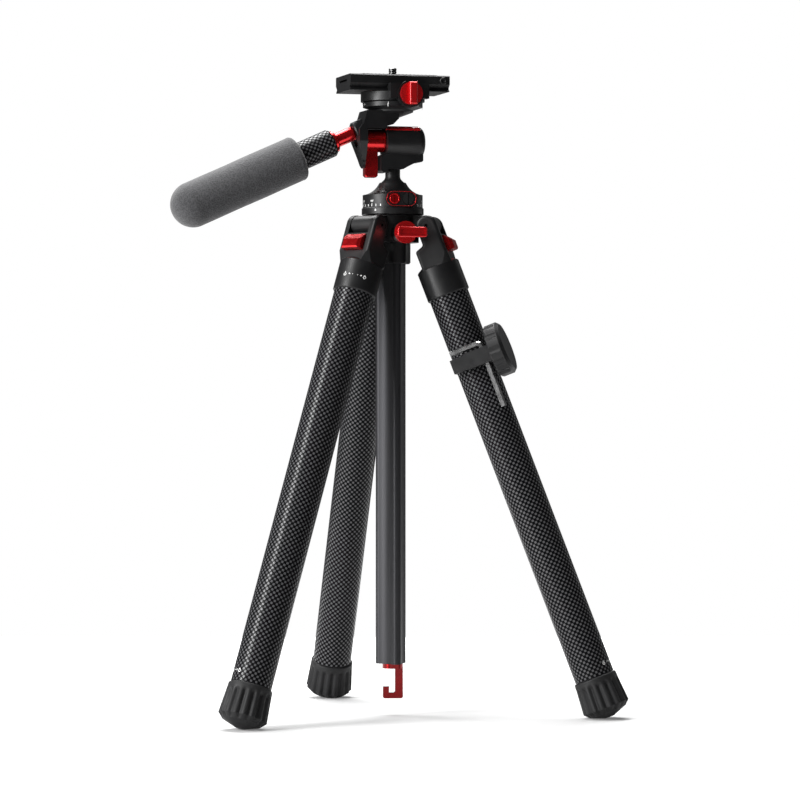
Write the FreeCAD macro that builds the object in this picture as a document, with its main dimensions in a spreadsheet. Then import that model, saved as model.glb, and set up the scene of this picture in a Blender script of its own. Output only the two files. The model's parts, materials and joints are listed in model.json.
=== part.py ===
import FreeCAD, Part
import math
import os
import re
import Sketcher

# Tabletop-height travel tripod with nested carbon legs, a grooved centre column, a levelling ball
# head, a fluid tilt unit with its pan handle, and a quick-release plate.
# Frame: origin on the column's axis at floor level, +Z up, millimetres and degrees.

SIZES = {
    # Stance
    "leg_tilt": 21.2, "hinge_radius": 28.3, "leg_offset": 5.1, "first_leg_azimuth": -11.6,
    # Leg tubes
    "tube_diameter": 30.0, "tube_wall": 1.5, "section_wall": 1.2, "section_gap": 0.3,
    "tube_top": 45.0, "tube_bottom": 357.5, "section_top": 62.0,
    # Foot
    "foot_top_radius": 16.2, "foot_radius": 18.0, "foot_length": 23.5, "foot_pad_radius": 14.4,
    "foot_tip_radius": 3.5, "foot_flute_radius": 2.6, "foot_plug_length": 14.0, "foot_lip": 1.2,
    "flute_start": 4.0, "flute_share": 0.45,
    # Shoulder
    "ear_radius": 7.8, "ear_thickness": 5.2, "knuckle_width": 19.0, "knuckle_radius": 7.4,
    "joint_gap": 0.3, "collar_radius": 16.25, "collar_top": 30.0, "collar_bottom": 53.6,
    "shoulder_step": 15.5, "blend_reach": 4.2, "blend_length": 12.0, "shoulder_inner": 9.7,
    "slot_floor": 9.2, "pin_radius": 2.5, "pin_head_radius": 3.8, "pin_head_depth": 2.6,
    "socket_radius": 1.25, "running_gap": 0.05,
    # Angle lock tab
    "tab_width": 18.0, "tab_top": 10.5, "tab_bottom": 22.8, "tab_reach": 5.6, "tab_depth": 4.5,
    "tab_corner": 3.0,
    # Crown
    "crown_top": 8.2, "crown_bottom": 11.9, "hub_radius": 19.6, "sleeve_bottom": 26.8,
    "sleeve_wall": 2.6, "liner_wall": 1.0, "liner_lip": 0.8, "boss_radius": 7.4, "boss_reach": 29.0,
    "knob_drop": 5.4,
    # Column
    "column_reach": 12.9, "scallop_clearance": 0.5, "column_wall": 1.8, "column_length": 336.0,
    "plug_depth": 12.0, "plug_flange": 3.4, "hook_disc_radius": 7.8, "hook_shank": 6.0,
    "hook_drop": 18.4, "hook_bar": 4.1, "hook_tip": 4.6, "hook_thickness": 5.0,
    # Column lock
    "lock_disc_radius": 8.25, "lock_disc_thickness": 3.4, "lock_bar_length": 23.0,
    "lock_bar_height": 7.5, "lock_bar_thickness": 5.2, "lock_bar_shift": 3.2,
    "lock_bar_corner": 1.8, "lock_bar_hollow": 0.8, "lock_stud_radius": 2.5, "stud_gap": 0.1,
    # Ball head
    "head_yaw": 16.5, "base_radius": 23.25, "base_height": 5.5, "base_spigot_radius": 4.2,
    "housing_radius": 22.5, "housing_gap": 0.3, "housing_height": 9.6, "cone_height": 9.4,
    "cone_hollow": 16.0, "flare_radius": 7.6, "flare_height": 3.2, "flare_hollow": 4.6,
    "housing_floor": 1.2, "ball_radius": 10.5, "ball_drop": 6.0, "neck_radius": 5.6,
    "bezel_width": 24.0, "bezel_height": 11.6, "bezel_depth": 2.6, "bezel_rise": 6.0,
    "small_knob_radius": 4.3, "small_knob_spacing": 10.8, "small_knob_length": 3.4,
    # Tilt unit
    "tilt_rise": 30.2, "barrel_radius": 12.25, "barrel_left": 7.0, "barrel_right": 23.3,
    "barrel_round": 5.0, "shaft_radius": 4.5, "shaft_end": 15.0, "shaft_recess": 2.4,
    "strip_length": 26.0, "lobe_reach": 11.2, "lobe_drop": 22.7, "bracket_drop": 20.2,
    "bracket_reach": 21.6, "bracket_lip": 13.6, "bracket_width": 16.0, "ear_left": 29.0,
    "ear_inner": 22.6, "arm_ear_radius": 12.5, "ear_tip_radius": 6.0, "ear_tip_drop": 14.0,
    "ear_tip_thickness": 0.9, "shoulder_slope": 6.5, "arm_half_width": 11.0, "arm_right": 1.6,
    "barrel_clearance": 0.6, "lever_hub_radius": 7.5, "lever_reach": 26.6, "lever_thickness": 7.0,
    "lever_right": 12.6,
    # Platform and clamp
    "platform_rise": 26.2, "platform_radius": 22.5, "platform_height": 3.7, "disc_radius": 24.0,
    "disc_height": 6.6, "disc_gap": 0.4, "clamp_front": 27.0, "clamp_block_left": 9.5,
    "clamp_block_right": 20.5, "clamp_knob_radius": 8.5, "clamp_knob_shift": 6.0,
    "clamp_knob_length": 5.0, "clamp_ring_radius": 10.0, "knob_rise": 4.3, "clamp_bar_width": 6.0,
    "clamp_rod_radius": 2.0, "jaw_length": 28.0, "jaw_back": 19.2,
    # Plate
    "plate_length": 77.0, "plate_width": 41.0, "plate_height": 12.0, "plate_slab": 6.6,
    "plate_groove": 3.0, "screw_slot": 14.0, "pad_length": 62.0, "pad_width": 8.0, "pad_row": 13.6,
    "pad_recess": 1.0, "pad_rise": 0.4, "half_slot": 10.0, "screw_radius": 3.175, "screw_rise": 6.4,
    "screw_neck_radius": 2.7, "screw_head_radius": 6.6,
    # Pan handle
    "handle_drop": 24.2, "handle_x": 29.5, "handle_rise": 7.0, "boss_sleeve_radius": 7.6,
    "connector_radius": 5.4, "connector_length": 16.0, "handle_ring_radius": 8.2,
    "handle_ring_length": 3.0, "handle_tube_radius": 10.5, "handle_tube_length": 90.0,
    "grip_start": 47.0, "grip_radius": 16.9, "grip_length": 106.0,
    # Accessory clip
    "clip_drop": 106.5, "clip_height": 10.6, "band_gap": 0.05, "band_wall": 2.6, "clip_front": 26.0,
    "clip_split": -2.0, "clip_screw_reach": 18.0, "clip_right": 18.6, "clip_left": 13.4,
    "clip_screw_radius": 2.0, "clip_screw_depth": 18.0, "clip_knob_radius": 20.0,
    "clip_knob_length": 11.6, "key_radius": 2.2, "key_x": 13.0, "key_depth": 23.1,
    "key_short": 24.0, "key_long": 50.0, "key_bend": 3.2, "clip_mouth": 38.0,
}

# Lengths worked out from the sizes, written in the sheet's own formula language.
DERIVED = {
    "tube_radius": "tube_diameter / 2",
    "foot_end": "tube_bottom + foot_length",
    "foot_cone_start": "foot_end + foot_radius - foot_pad_radius",
    "foot_tip": "foot_cone_start + (foot_pad_radius - foot_tip_radius) * tan(leg_tilt)",
    "hinge_height": "(leg_offset + foot_pad_radius) * sin(leg_tilt) + foot_cone_start * cos(leg_tilt)",
    "ear_width": "knuckle_width + 2 * (joint_gap + ear_thickness)",
    "slot_width": "knuckle_width + 2 * joint_gap",
    "column_axis_gap": "hinge_radius - leg_offset",
    "scallop_radius": "collar_radius + scallop_clearance",
    "corner_sum": "scallop_radius + column_reach",
    "corner_reach": "(corner_sum ^ 2 - column_axis_gap ^ 2) / (2 * corner_sum - column_axis_gap)",
    "corner_radius": "column_reach - corner_reach",
    "crown_deck": "hinge_height + crown_top",
    "column_foot": "crown_deck - column_length",
    "housing_base": "crown_deck + base_height + housing_gap",
    "housing_top": "housing_base + housing_height + cone_height",
    "ball_height": "housing_top - ball_drop",
    "tilt_height": "housing_top + tilt_rise",
    "platform_top": "tilt_height + platform_rise + platform_height",
    "disc_bottom": "platform_top + disc_gap",
    "disc_top": "disc_bottom + disc_height",
    "plate_base": "disc_top + disc_gap",
}

LEGS = {"right": 0, "rear": 120, "left": 240}
THIRD_TURN = 120
LAST_SECTION = 5
FOOT_FLUTES = 14
KNOB_FLUTES = 12
# The accent strip round the barrel, in degrees from the top towards the front
BAND_START = 14
BAND_END = 44
X_AXIS = FreeCAD.Vector(1, 0, 0)
Y_AXIS = FreeCAD.Vector(0, 1, 0)
Z_AXIS = FreeCAD.Vector(0, 0, 1)

doc = FreeCAD.newDocument("travel_tripod")
sheet = doc.addObject("Spreadsheet::Sheet", "Sizes")
for row, (alias, value) in enumerate(SIZES.items(), 1):
    sheet.set(f"A{row}", alias)
    sheet.set(f"B{row}", str(value))
    sheet.setAlias(f"B{row}", alias)
doc.recompute()

parts = []


def expand(expression):
    """Replace derived names by their formulas until only sheet sizes are left."""
    previous = None
    while previous != expression:
        previous = expression
        expression = re.sub(
            r"[a-z_]+", lambda m: f"({DERIVED[m.group()]})" if m.group() in DERIVED else m.group(),
            expression)
    return expression


def bound(expression):
    """The expression as another object reads it, with every size taken from the sheet."""
    return re.sub(r"[a-z_]+", lambda m: f"Sizes.{m.group()}" if m.group() in SIZES else m.group(),
                  expand(str(expression)))


def num(expression):
    """The expression's value now."""
    value = sheet.evalExpression(expand(str(expression)))
    return float(getattr(value, "Value", value))


def vector(x=0, y=0, z=0):
    return FreeCAD.Vector(num(x), num(y), num(z))


class Piece:
    """One PartDesign body, built feature by feature in its own frame."""

    def __init__(self, name):
        self.body = doc.addObject("PartDesign::Body", name)
        self.body.Label = name
        self.count = 0
        parts.append(self.body)

    def feature(self, kind):
        self.count += 1
        return self.body.newObject(kind, f"{self.body.Name}_{self.count}")

    def sketch(self, plane, outlines, lift="0", azimuth=None, pivot=None):
        """A sketch on an origin plane, lifted along its normal; azimuth turns a side plane about Z,
        and pivot (x, y, spin) moves the sketch's own origin in its plane and spins it there."""
        sketch = self.feature("Sketcher::SketchObject")
        support = [o for o in self.body.Origin.OriginFeatures if o.Role == f"{plane}_Plane"][0]
        sketch.AttachmentSupport = [(support, "")]
        sketch.MapMode = "FlatFace"
        if pivot is not None:
            turn = FreeCAD.Rotation(Z_AXIS, num(pivot[2]))
            sketch.AttachmentOffset = FreeCAD.Placement(vector(pivot[0], pivot[1]), turn)
            sketch.setExpression("AttachmentOffset.Base.x", bound(pivot[0]))
            sketch.setExpression("AttachmentOffset.Base.y", bound(pivot[1]))
            sketch.setExpression("AttachmentOffset.Rotation.Angle", bound(pivot[2]))
        elif azimuth is None:
            sketch.AttachmentOffset = FreeCAD.Placement(vector(z=lift), FreeCAD.Rotation())
            sketch.setExpression("AttachmentOffset.Base.z", bound(lift))
        else:
            turn = FreeCAD.Rotation(Y_AXIS, num(azimuth))
            sketch.AttachmentOffset = FreeCAD.Placement(turn.multVec(vector(z=lift)), turn)
            sketch.setExpression("AttachmentOffset.Rotation.Angle", bound(azimuth))
            sketch.setExpression("AttachmentOffset.Base.x", bound(f"({lift}) * sin({azimuth})"))
            sketch.setExpression("AttachmentOffset.Base.z", bound(f"({lift}) * cos({azimuth})"))
        for outline in outlines:
            if outline[0] == "circle":
                draw_circle(sketch, *outline[1:])
            else:
                draw_outline(sketch, outline)
        return sketch

    def extrude(self, kind, profile, length, symmetric=False, reverse=False, through=False):
        feature = self.feature(f"PartDesign::{kind}")
        feature.Profile = profile
        if through:
            feature.Type = "ThroughAll"
        else:
            feature.setExpression("Length", bound(length))
        feature.SideType = "Symmetric" if symmetric else "One side"
        feature.Reversed = reverse
        self.body.Tip = feature
        return feature

    def pad(self, profile, length, **options):
        return self.extrude("Pad", profile, length, **options)

    def pocket(self, profile, length="1", **options):
        return self.extrude("Pocket", profile, length, **options)

    def turn(self, kind, profile, axis="V_Axis"):
        feature = self.feature(f"PartDesign::{kind}")
        feature.Profile = profile
        feature.ReferenceAxis = (profile, [axis])
        feature.Angle = 360
        self.body.Tip = feature
        return feature

    def revolve(self, profile, axis="V_Axis"):
        return self.turn("Revolution", profile, axis)

    def groove(self, profile, axis="V_Axis"):
        return self.turn("Groove", profile, axis)

    def polar(self, originals, count, axis="Z_Axis"):
        feature = self.feature("PartDesign::PolarPattern")
        feature.Originals = originals
        feature.Axis = ([o for o in self.body.Origin.OriginFeatures if o.Role == axis][0], [""])
        feature.Angle = 360
        feature.Occurrences = count
        self.body.Tip = feature
        return feature

    def soften(self, kind, size, chosen):
        """Fillet or chamfer the edges of the tip for which chosen(edge) is true."""
        doc.recompute()
        tip = self.body.Tip
        edges = [f"Edge{i}" for i, edge in enumerate(tip.Shape.Edges, 1) if chosen(edge)]
        feature = self.feature(f"PartDesign::{kind}")
        feature.Base = (tip, edges)
        feature.setExpression("Radius" if kind == "Fillet" else "Size", bound(size))
        self.body.Tip = feature
        return feature

    def place(self, placement):
        self.body.Placement = placement


def draw_circle(sketch, x, y, radius):
    index = sketch.addGeometry(Part.Circle(vector(x, y), Z_AXIS, num(radius)), False)
    pin_point(sketch, index, 3, x, y)
    constraint = sketch.addConstraint(Sketcher.Constraint("Radius", index, num(radius)))
    sketch.setExpression(f"Constraints[{constraint}]", bound(radius))


def pin_point(sketch, index, position, x, y):
    for axis, size in (("DistanceX", x), ("DistanceY", y)):
        constraint = sketch.addConstraint(Sketcher.Constraint(axis, -1, 1, index, position, num(size)))
        if re.search("[a-z]", str(size)):
            sketch.setExpression(f"Constraints[{constraint}]", bound(size))


def draw_outline(sketch, outline):
    """Closed outline of points (x, y); a point (x, y, radius, side) starts an arc to the next point,
    bulging to the left (1) or right (-1) of the way there."""
    corners = [vector(point[0], point[1]) for point in outline]
    edges = []
    for i, point in enumerate(outline):
        start, end = corners[i], corners[(i + 1) % len(corners)]
        if len(point) == 2:
            edges.append(Part.LineSegment(start, end))
            continue
        radius, side = num(point[2]), point[3]
        chord = end - start
        left = FreeCAD.Vector(-chord.y, chord.x).normalize()
        sag = math.sqrt(max(radius ** 2 - (chord.Length / 2) ** 2, 0))
        centre = (start + end) / 2 - left * side * sag
        middle = centre + left * side * radius
        edges.append(Part.Arc(start, middle, end))
    first = sketch.GeometryCount
    sketch.addGeometry(edges, False)
    forward = []
    for i, edge in enumerate(edges):
        ends_reversed = isinstance(edge, Part.Arc) and outline[i][3] == 1
        forward.append((2, 1) if ends_reversed else (1, 2))
    count = len(edges)
    for i in range(count):
        j = (i + 1) % count
        sketch.addConstraint(
            Sketcher.Constraint("Coincident", first + i, forward[i][1], first + j, forward[j][0]))
    for i, point in enumerate(outline):
        pin_point(sketch, first + i, forward[i][0], point[0], point[1])
        if len(point) == 4 and num(point[2]) * 2 > (corners[(i + 1) % count] - corners[i]).Length + 1e-6:
            constraint = sketch.addConstraint(Sketcher.Constraint("Radius", first + i, num(point[2])))
            sketch.setExpression(f"Constraints[{constraint}]", bound(point[2]))


def box_outline(left, bottom, right, top):
    return [(left, bottom), (right, bottom), (right, top), (left, top)]


def third_turn_point(x, y, turn):
    """The point (x, y) turned about the origin, as two formulas."""
    return (f"({x}) * cos({turn}) - ({y}) * sin({turn})", f"({x}) * sin({turn}) + ({y}) * cos({turn})")


def column_outline(offset):
    """The column's section grown by an offset: three round corners between the legs, and three
    hollows that a folded leg fits."""
    share = f"((corner_radius + ({offset})) / (scallop_radius + corner_radius))"
    corner_x = "corner_reach * cos(60)"
    corner_y = "corner_reach * sin(60)"
    near_x = f"{corner_x} + (column_axis_gap - {corner_x}) * {share}"
    near_y = f"{corner_y} * (1 - {share})"
    outline = []
    for turn in (0, THIRD_TURN, 2 * THIRD_TURN):
        hollow = third_turn_point(near_x, f"-({near_y})", turn) + (f"scallop_radius - ({offset})", 1)
        corner = third_turn_point(near_x, near_y, turn) + (f"corner_radius + ({offset})", -1)
        outline += [hollow, corner]
    return outline


def stadium(width, height, x="0", y="0"):
    """A slot outline with half-round ends, centred on (x, y)."""
    half = f"({width} - {height}) / 2"
    radius = f"{height} / 2"
    return [(f"{x} - {half}", f"{y} - {radius}"), (f"{x} + {half}", f"{y} - {radius}", radius, -1),
            (f"{x} + {half}", f"{y} + {radius}"), (f"{x} - {half}", f"{y} + {radius}", radius, -1)]


def rounded_box(width, height, corner, x="0"):
    """A rectangle with round corners, centred on (x, 0)."""
    left, right = f"{x} - ({width}) / 2", f"{x} + ({width}) / 2"
    half = f"({height}) / 2"
    return [(f"{left} + {corner}", f"-{half}"), (f"{right} - {corner}", f"-{half}", corner, -1),
            (right, f"{corner} - {half}"), (right, f"{half} - {corner}", corner, -1),
            (f"{right} - {corner}", half), (f"{left} + {corner}", half, corner, -1),
            (left, f"{half} - {corner}"), (left, f"{corner} - {half}", corner, -1)]


def on_axis(height, azimuth="0"):
    """A frame on the column's axis at a height, turned about it."""
    return FreeCAD.Placement(vector(z=height), FreeCAD.Rotation(Z_AXIS, num(azimuth)))


def leg_frame(turn):
    """Origin on the leg's axis abreast of its hinge, X outward, Z up along the leg."""
    swing = FreeCAD.Placement(vector("hinge_radius"), FreeCAD.Rotation(Y_AXIS, -num("leg_tilt")))
    shift = FreeCAD.Placement(vector("-leg_offset"), FreeCAD.Rotation())
    return crown_frame(turn).multiply(swing).multiply(shift)


def crown_frame(turn=0):
    """Origin on the axis at hinge height, X towards a leg."""
    return on_axis("hinge_height", f"first_leg_azimuth + {turn}")


def at_ends(edge, axis, size):
    """True when both ends of an edge lie at plus or minus a size along an axis."""
    limit = num(size)
    return all(abs(abs(getattr(v.Point, axis)) - limit) < 1e-4 for v in edge.Vertexes)


# ---------------------------------------------------------------- crown

def make_crown():
    frame = crown_frame()
    casting = Piece("crown_casting")
    hub = casting.pad(casting.sketch("XY", [("circle", 0, 0, "hub_radius")], "-crown_bottom"),
                      "crown_bottom + crown_top")
    lug_outline = [("hub_radius / 2", "-knuckle_radius"), ("hinge_radius", "-knuckle_radius",
                                                           "knuckle_radius", -1),
                   ("hinge_radius", "knuckle_radius"), ("hub_radius / 2", "knuckle_radius")]
    lug = casting.pad(casting.sketch("XZ", [lug_outline]), "knuckle_width", symmetric=True)
    casting.polar([lug], len(LEGS))
    casting.pad(casting.sketch("XY", [column_outline("liner_wall + running_gap + sleeve_wall")],
                               "-sleeve_bottom"),
                "sleeve_bottom - crown_bottom + 1")
    casting.pad(casting.sketch("YZ", [("circle", 0, "-knob_drop", "boss_radius")], "hub_radius / 2", -60),
                "boss_reach - hub_radius / 2")
    casting.pocket(casting.sketch("XY", [column_outline("liner_wall + running_gap")], "crown_top"),
                   through=True)
    pin_hole = casting.pocket(casting.sketch("XZ", [("circle", "hinge_radius", 0, "pin_radius")]),
                              "knuckle_width + 1", symmetric=True)
    casting.polar([pin_hole], len(LEGS))
    casting.pocket(casting.sketch("YZ", [("circle", 0, "-knob_drop", "lock_stud_radius + running_gap")],
                                  "boss_reach", -60), "boss_reach - corner_reach")
    casting.place(frame)

    liner = Piece("crown_liner")
    liner.pad(liner.sketch("XY", [column_outline("liner_wall + running_gap")],
                           "-(sleeve_bottom + liner_lip)"),
              "sleeve_bottom + liner_lip + crown_top - 0.5")
    liner.pad(liner.sketch("XY", [column_outline("liner_wall + running_gap + sleeve_wall - 0.6")],
                           "-(sleeve_bottom + liner_lip)"), "liner_lip")
    liner.pocket(liner.sketch("XY", [column_outline("running_gap")], "crown_top"), through=True)
    liner.pocket(liner.sketch("YZ", [("circle", 0, "-knob_drop", "lock_stud_radius + running_gap")],
                              "boss_reach", -60), "boss_reach - corner_reach")
    liner.place(frame)

    pins = Piece("hinge_pins")
    pins.body.AllowCompound = True
    half = "ear_width / 2"
    profile = [("hinge_radius", f"-({half} - 0.2)"), ("hinge_radius + pin_head_radius", f"-({half} - 0.2)"),
               ("hinge_radius + pin_head_radius", f"-({half} - pin_head_depth)"),
               ("hinge_radius + pin_radius", f"-({half} - pin_head_depth)"),
               ("hinge_radius + pin_radius", f"{half} - pin_head_depth"),
               ("hinge_radius + pin_head_radius", f"{half} - pin_head_depth"),
               ("hinge_radius + pin_head_radius", f"{half} - 0.2"), ("hinge_radius", f"{half} - 0.2")]
    sketch = pins.sketch("XY", [profile])
    line = sketch.addGeometry(Part.LineSegment(vector("hinge_radius", -1), vector("hinge_radius", 1)), True)
    pin_point(sketch, line, 1, "hinge_radius", -1)
    pin_point(sketch, line, 2, "hinge_radius", 1)
    pin = pins.revolve(sketch, "Axis0")
    sockets = [pins.pocket(pins.sketch("XZ", [("circle", "hinge_radius", 0, "socket_radius")], lift), "2.2",
                           reverse=back) for lift, back in ((f"{half}", False), (f"-({half})", True))]
    pins.polar([pin] + sockets, len(LEGS))
    pins.place(frame)


def make_column_lock():
    frame = crown_frame(-60)
    frame = frame.multiply(FreeCAD.Placement(vector("boss_reach + joint_gap", 0, "-knob_drop"),
                                             FreeCAD.Rotation()))
    knob = Piece("column_lock_knob")
    knob.pad(knob.sketch("YZ", [("circle", 0, 0, "lock_disc_radius")]), "lock_disc_thickness")
    bar = rounded_box("lock_bar_length", "lock_bar_height", "lock_bar_corner", "lock_bar_shift")
    knob.pad(knob.sketch("YZ", [bar], "lock_disc_thickness"), "lock_bar_thickness")
    face = "lock_disc_thickness + lock_bar_thickness"
    knob.soften("Fillet", "0.7", lambda e: e.BoundBox.XMin > num(face) - 0.01)
    hollow = rounded_box("lock_bar_length - 3.4", "lock_bar_height - 3.4", "lock_bar_corner / 2",
                         "lock_bar_shift")
    knob.pocket(knob.sketch("YZ", [hollow], face), "lock_bar_hollow")
    knob.place(frame)
    stud = Piece("column_lock_stud")
    stud.pad(stud.sketch("YZ", [("circle", 0, 0, "lock_stud_radius")]),
             "boss_reach - column_reach - stud_gap",
             reverse=True)
    stud.place(frame)


# ---------------------------------------------------------------- legs

def make_shoulder(name, frame):
    piece = Piece(name)
    outer = "leg_offset + ear_radius"
    inner = "leg_offset - ear_radius"
    side = [(outer, 0, "ear_radius", -1), (inner, 0), (inner, "-(shoulder_step - 2.4)"),
            ("-shoulder_inner", "-shoulder_step"), ("-shoulder_inner", "-(collar_top + 4)"),
            (outer, "-(collar_top + 4)")]
    piece.pad(piece.sketch("XZ", [side]), "ear_width", symmetric=True)
    piece.soften("Fillet", "2.2", lambda e: at_ends(e, "y", "ear_width / 2"))
    collar = [(0, "-(collar_top - 3.5)"), ("shoulder_inner", "-(collar_top - 3.5)"),
              ("collar_radius - 0.8", "-collar_top"), ("collar_radius", "-(collar_top + 0.9)"),
              ("collar_radius", "-(collar_bottom - 0.7)"), ("collar_radius - 0.5", "-collar_bottom"),
              (0, "-collar_bottom")]
    piece.revolve(piece.sketch("XZ", [collar]))
    blend = [("collar_radius", "-(collar_top + 5)"), ("collar_radius", "-(collar_top + 0.9)"),
             ("collar_radius + blend_reach", "-(collar_top - blend_length)"),
             (40, "-(collar_top - blend_length)"),
             (40, "-(collar_top + 5)")]
    piece.groove(piece.sketch("XZ", [blend]))
    piece.pocket(piece.sketch("XZ", [box_outline(-40, "-slot_floor", 40, 20)]), "slot_width",
                 symmetric=True)
    piece.pocket(piece.sketch("XY", [("circle", 0, 0, "tube_radius")], "-tube_top"), through=True)
    hole = ("circle", "leg_offset", 0, "pin_radius + running_gap")
    piece.pocket(piece.sketch("XZ", [hole]), "ear_width + 2", symmetric=True)
    head = ("circle", "leg_offset", 0, "pin_head_radius + 0.15")
    piece.pocket(piece.sketch("XZ", [head], "ear_width / 2 + 1"), "pin_head_depth + 1.1")
    piece.pocket(piece.sketch("XZ", [head], "-(ear_width / 2 + 1)"), "pin_head_depth + 1.1", reverse=True)
    channel = box_outline(f"{outer} - tab_depth - joint_gap", "-(tab_bottom + joint_gap)", f"{outer} + 9",
                          "-(tab_top - joint_gap)")
    piece.pocket(piece.sketch("XZ", [channel]), "tab_width + 2 * joint_gap", symmetric=True)
    piece.place(frame)


def make_angle_tab(name, frame):
    piece = Piece(name)
    face = "leg_offset + ear_radius"
    side = [(f"{face} - tab_depth", "-tab_bottom"), (f"{face} + tab_reach - 1", "-tab_bottom"),
            (f"{face} + tab_reach", "-(tab_bottom - 1)"), (f"{face} + tab_reach", "-(tab_top + tab_reach)"),
            (f"{face} + 0.6", "-tab_top"), (f"{face} - tab_depth", "-tab_top")]
    piece.pad(piece.sketch("XZ", [side]), "tab_width", symmetric=True)
    for end in (1, -1):
        corner = [(f"{face} + tab_reach + 1", f"{end} * (tab_width / 2 - tab_corner)"),
                  (f"{face} + tab_reach + 1", f"{end} * (tab_width / 2 + 1)"),
                  (f"{face} + tab_reach - tab_corner", f"{end} * (tab_width / 2 + 1)")]
        piece.pocket(piece.sketch("XY", [corner]), through=True)
    piece.place(frame)


def make_tube(name, frame, radius, wall, top, bottom="tube_bottom"):
    piece = Piece(name)
    ring = [("circle", 0, 0, radius), ("circle", 0, 0, f"{radius} - {wall}")]
    piece.pad(piece.sketch("XY", ring, f"-({bottom})"), f"{bottom} - ({top})")
    piece.place(frame)


def section_radius(number):
    return f"(tube_radius - tube_wall - section_gap - {number - 2} * (section_wall + section_gap))"


def make_foot(name, frame):
    piece = Piece(name)
    top = "-(tube_bottom + joint_gap)"
    plug = f"{section_radius(LAST_SECTION)} - section_wall - running_gap"
    profile = [(0, f"{top} + foot_plug_length"), (plug, f"{top} + foot_plug_length"), (plug, top),
               ("foot_top_radius - foot_lip", top), ("foot_top_radius", f"{top} - foot_lip"),
               ("foot_radius", "-foot_end"),
               ("foot_pad_radius", "-foot_cone_start"), ("foot_tip_radius", "-foot_tip"), (0, "-foot_tip")]
    piece.revolve(piece.sketch("XZ", [profile]))
    hollow = ("circle", "foot_radius + foot_flute_radius * flute_share", 0, "foot_flute_radius")
    flute = piece.pocket(piece.sketch("XY", [hollow], f"{top} - flute_start"), through=True)
    piece.polar([flute], FOOT_FLUTES)
    piece.place(frame)


def make_leg(side, turn):
    frame = leg_frame(turn)
    make_shoulder(f"shoulder_{side}", frame)
    make_angle_tab(f"angle_tab_{side}", frame)
    make_tube(f"outer_tube_{side}", frame, "tube_radius", "tube_wall", "tube_top")
    for number in range(2, LAST_SECTION + 1):
        make_tube(f"section_{number}_{side}", frame, section_radius(number), "section_wall",
                  f"section_top + {2 * (number - 2)}")
    make_foot(f"foot_{side}", frame)


# ---------------------------------------------------------------- column

def make_column():
    frame = crown_frame()
    tube = Piece("column_tube")
    tube.pad(tube.sketch("XY", [column_outline("0"), column_outline("-column_wall")],
                         "crown_top + joint_gap - column_length"), "column_length")
    tube.place(frame)

    plug = Piece("column_end_plug")
    plug.pad(plug.sketch("XY", [column_outline("-column_wall")], "crown_top + joint_gap - column_length"),
             "plug_depth")
    plug.place(frame)

    hook = Piece("weight_hook")
    hook.pad(hook.sketch("XY", [("circle", 0, 0, "hook_disc_radius")], "-plug_flange"), "plug_flange")
    left = "-hook_disc_radius + 0.5"
    right = "hook_disc_radius - 0.1"
    floor = "-(plug_flange + hook_drop + hook_bar)"
    shape = [(f"{right} - hook_shank", "-plug_flange + 1"), (f"{right} - hook_shank",
                                                             f"{floor} + hook_bar + 1"),
             (f"{right} - hook_shank - 1", f"{floor} + hook_bar"),
             (f"{left} + hook_tip", f"{floor} + hook_bar"),
             (f"{left} + hook_tip", f"{floor} + hook_bar + hook_tip"),
             (left, f"{floor} + hook_bar + hook_tip"),
             (left, f"{floor} + 1"), (f"{left} + 1", floor), (f"{right} - 1", floor),
             (right, f"{floor} + 1"),
             (right, "-plug_flange + 1")]
    hook.pad(hook.sketch("XZ", [shape]), "hook_thickness", symmetric=True)
    hook.place(on_axis("column_foot + joint_gap"))


# ---------------------------------------------------------------- ball head

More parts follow.
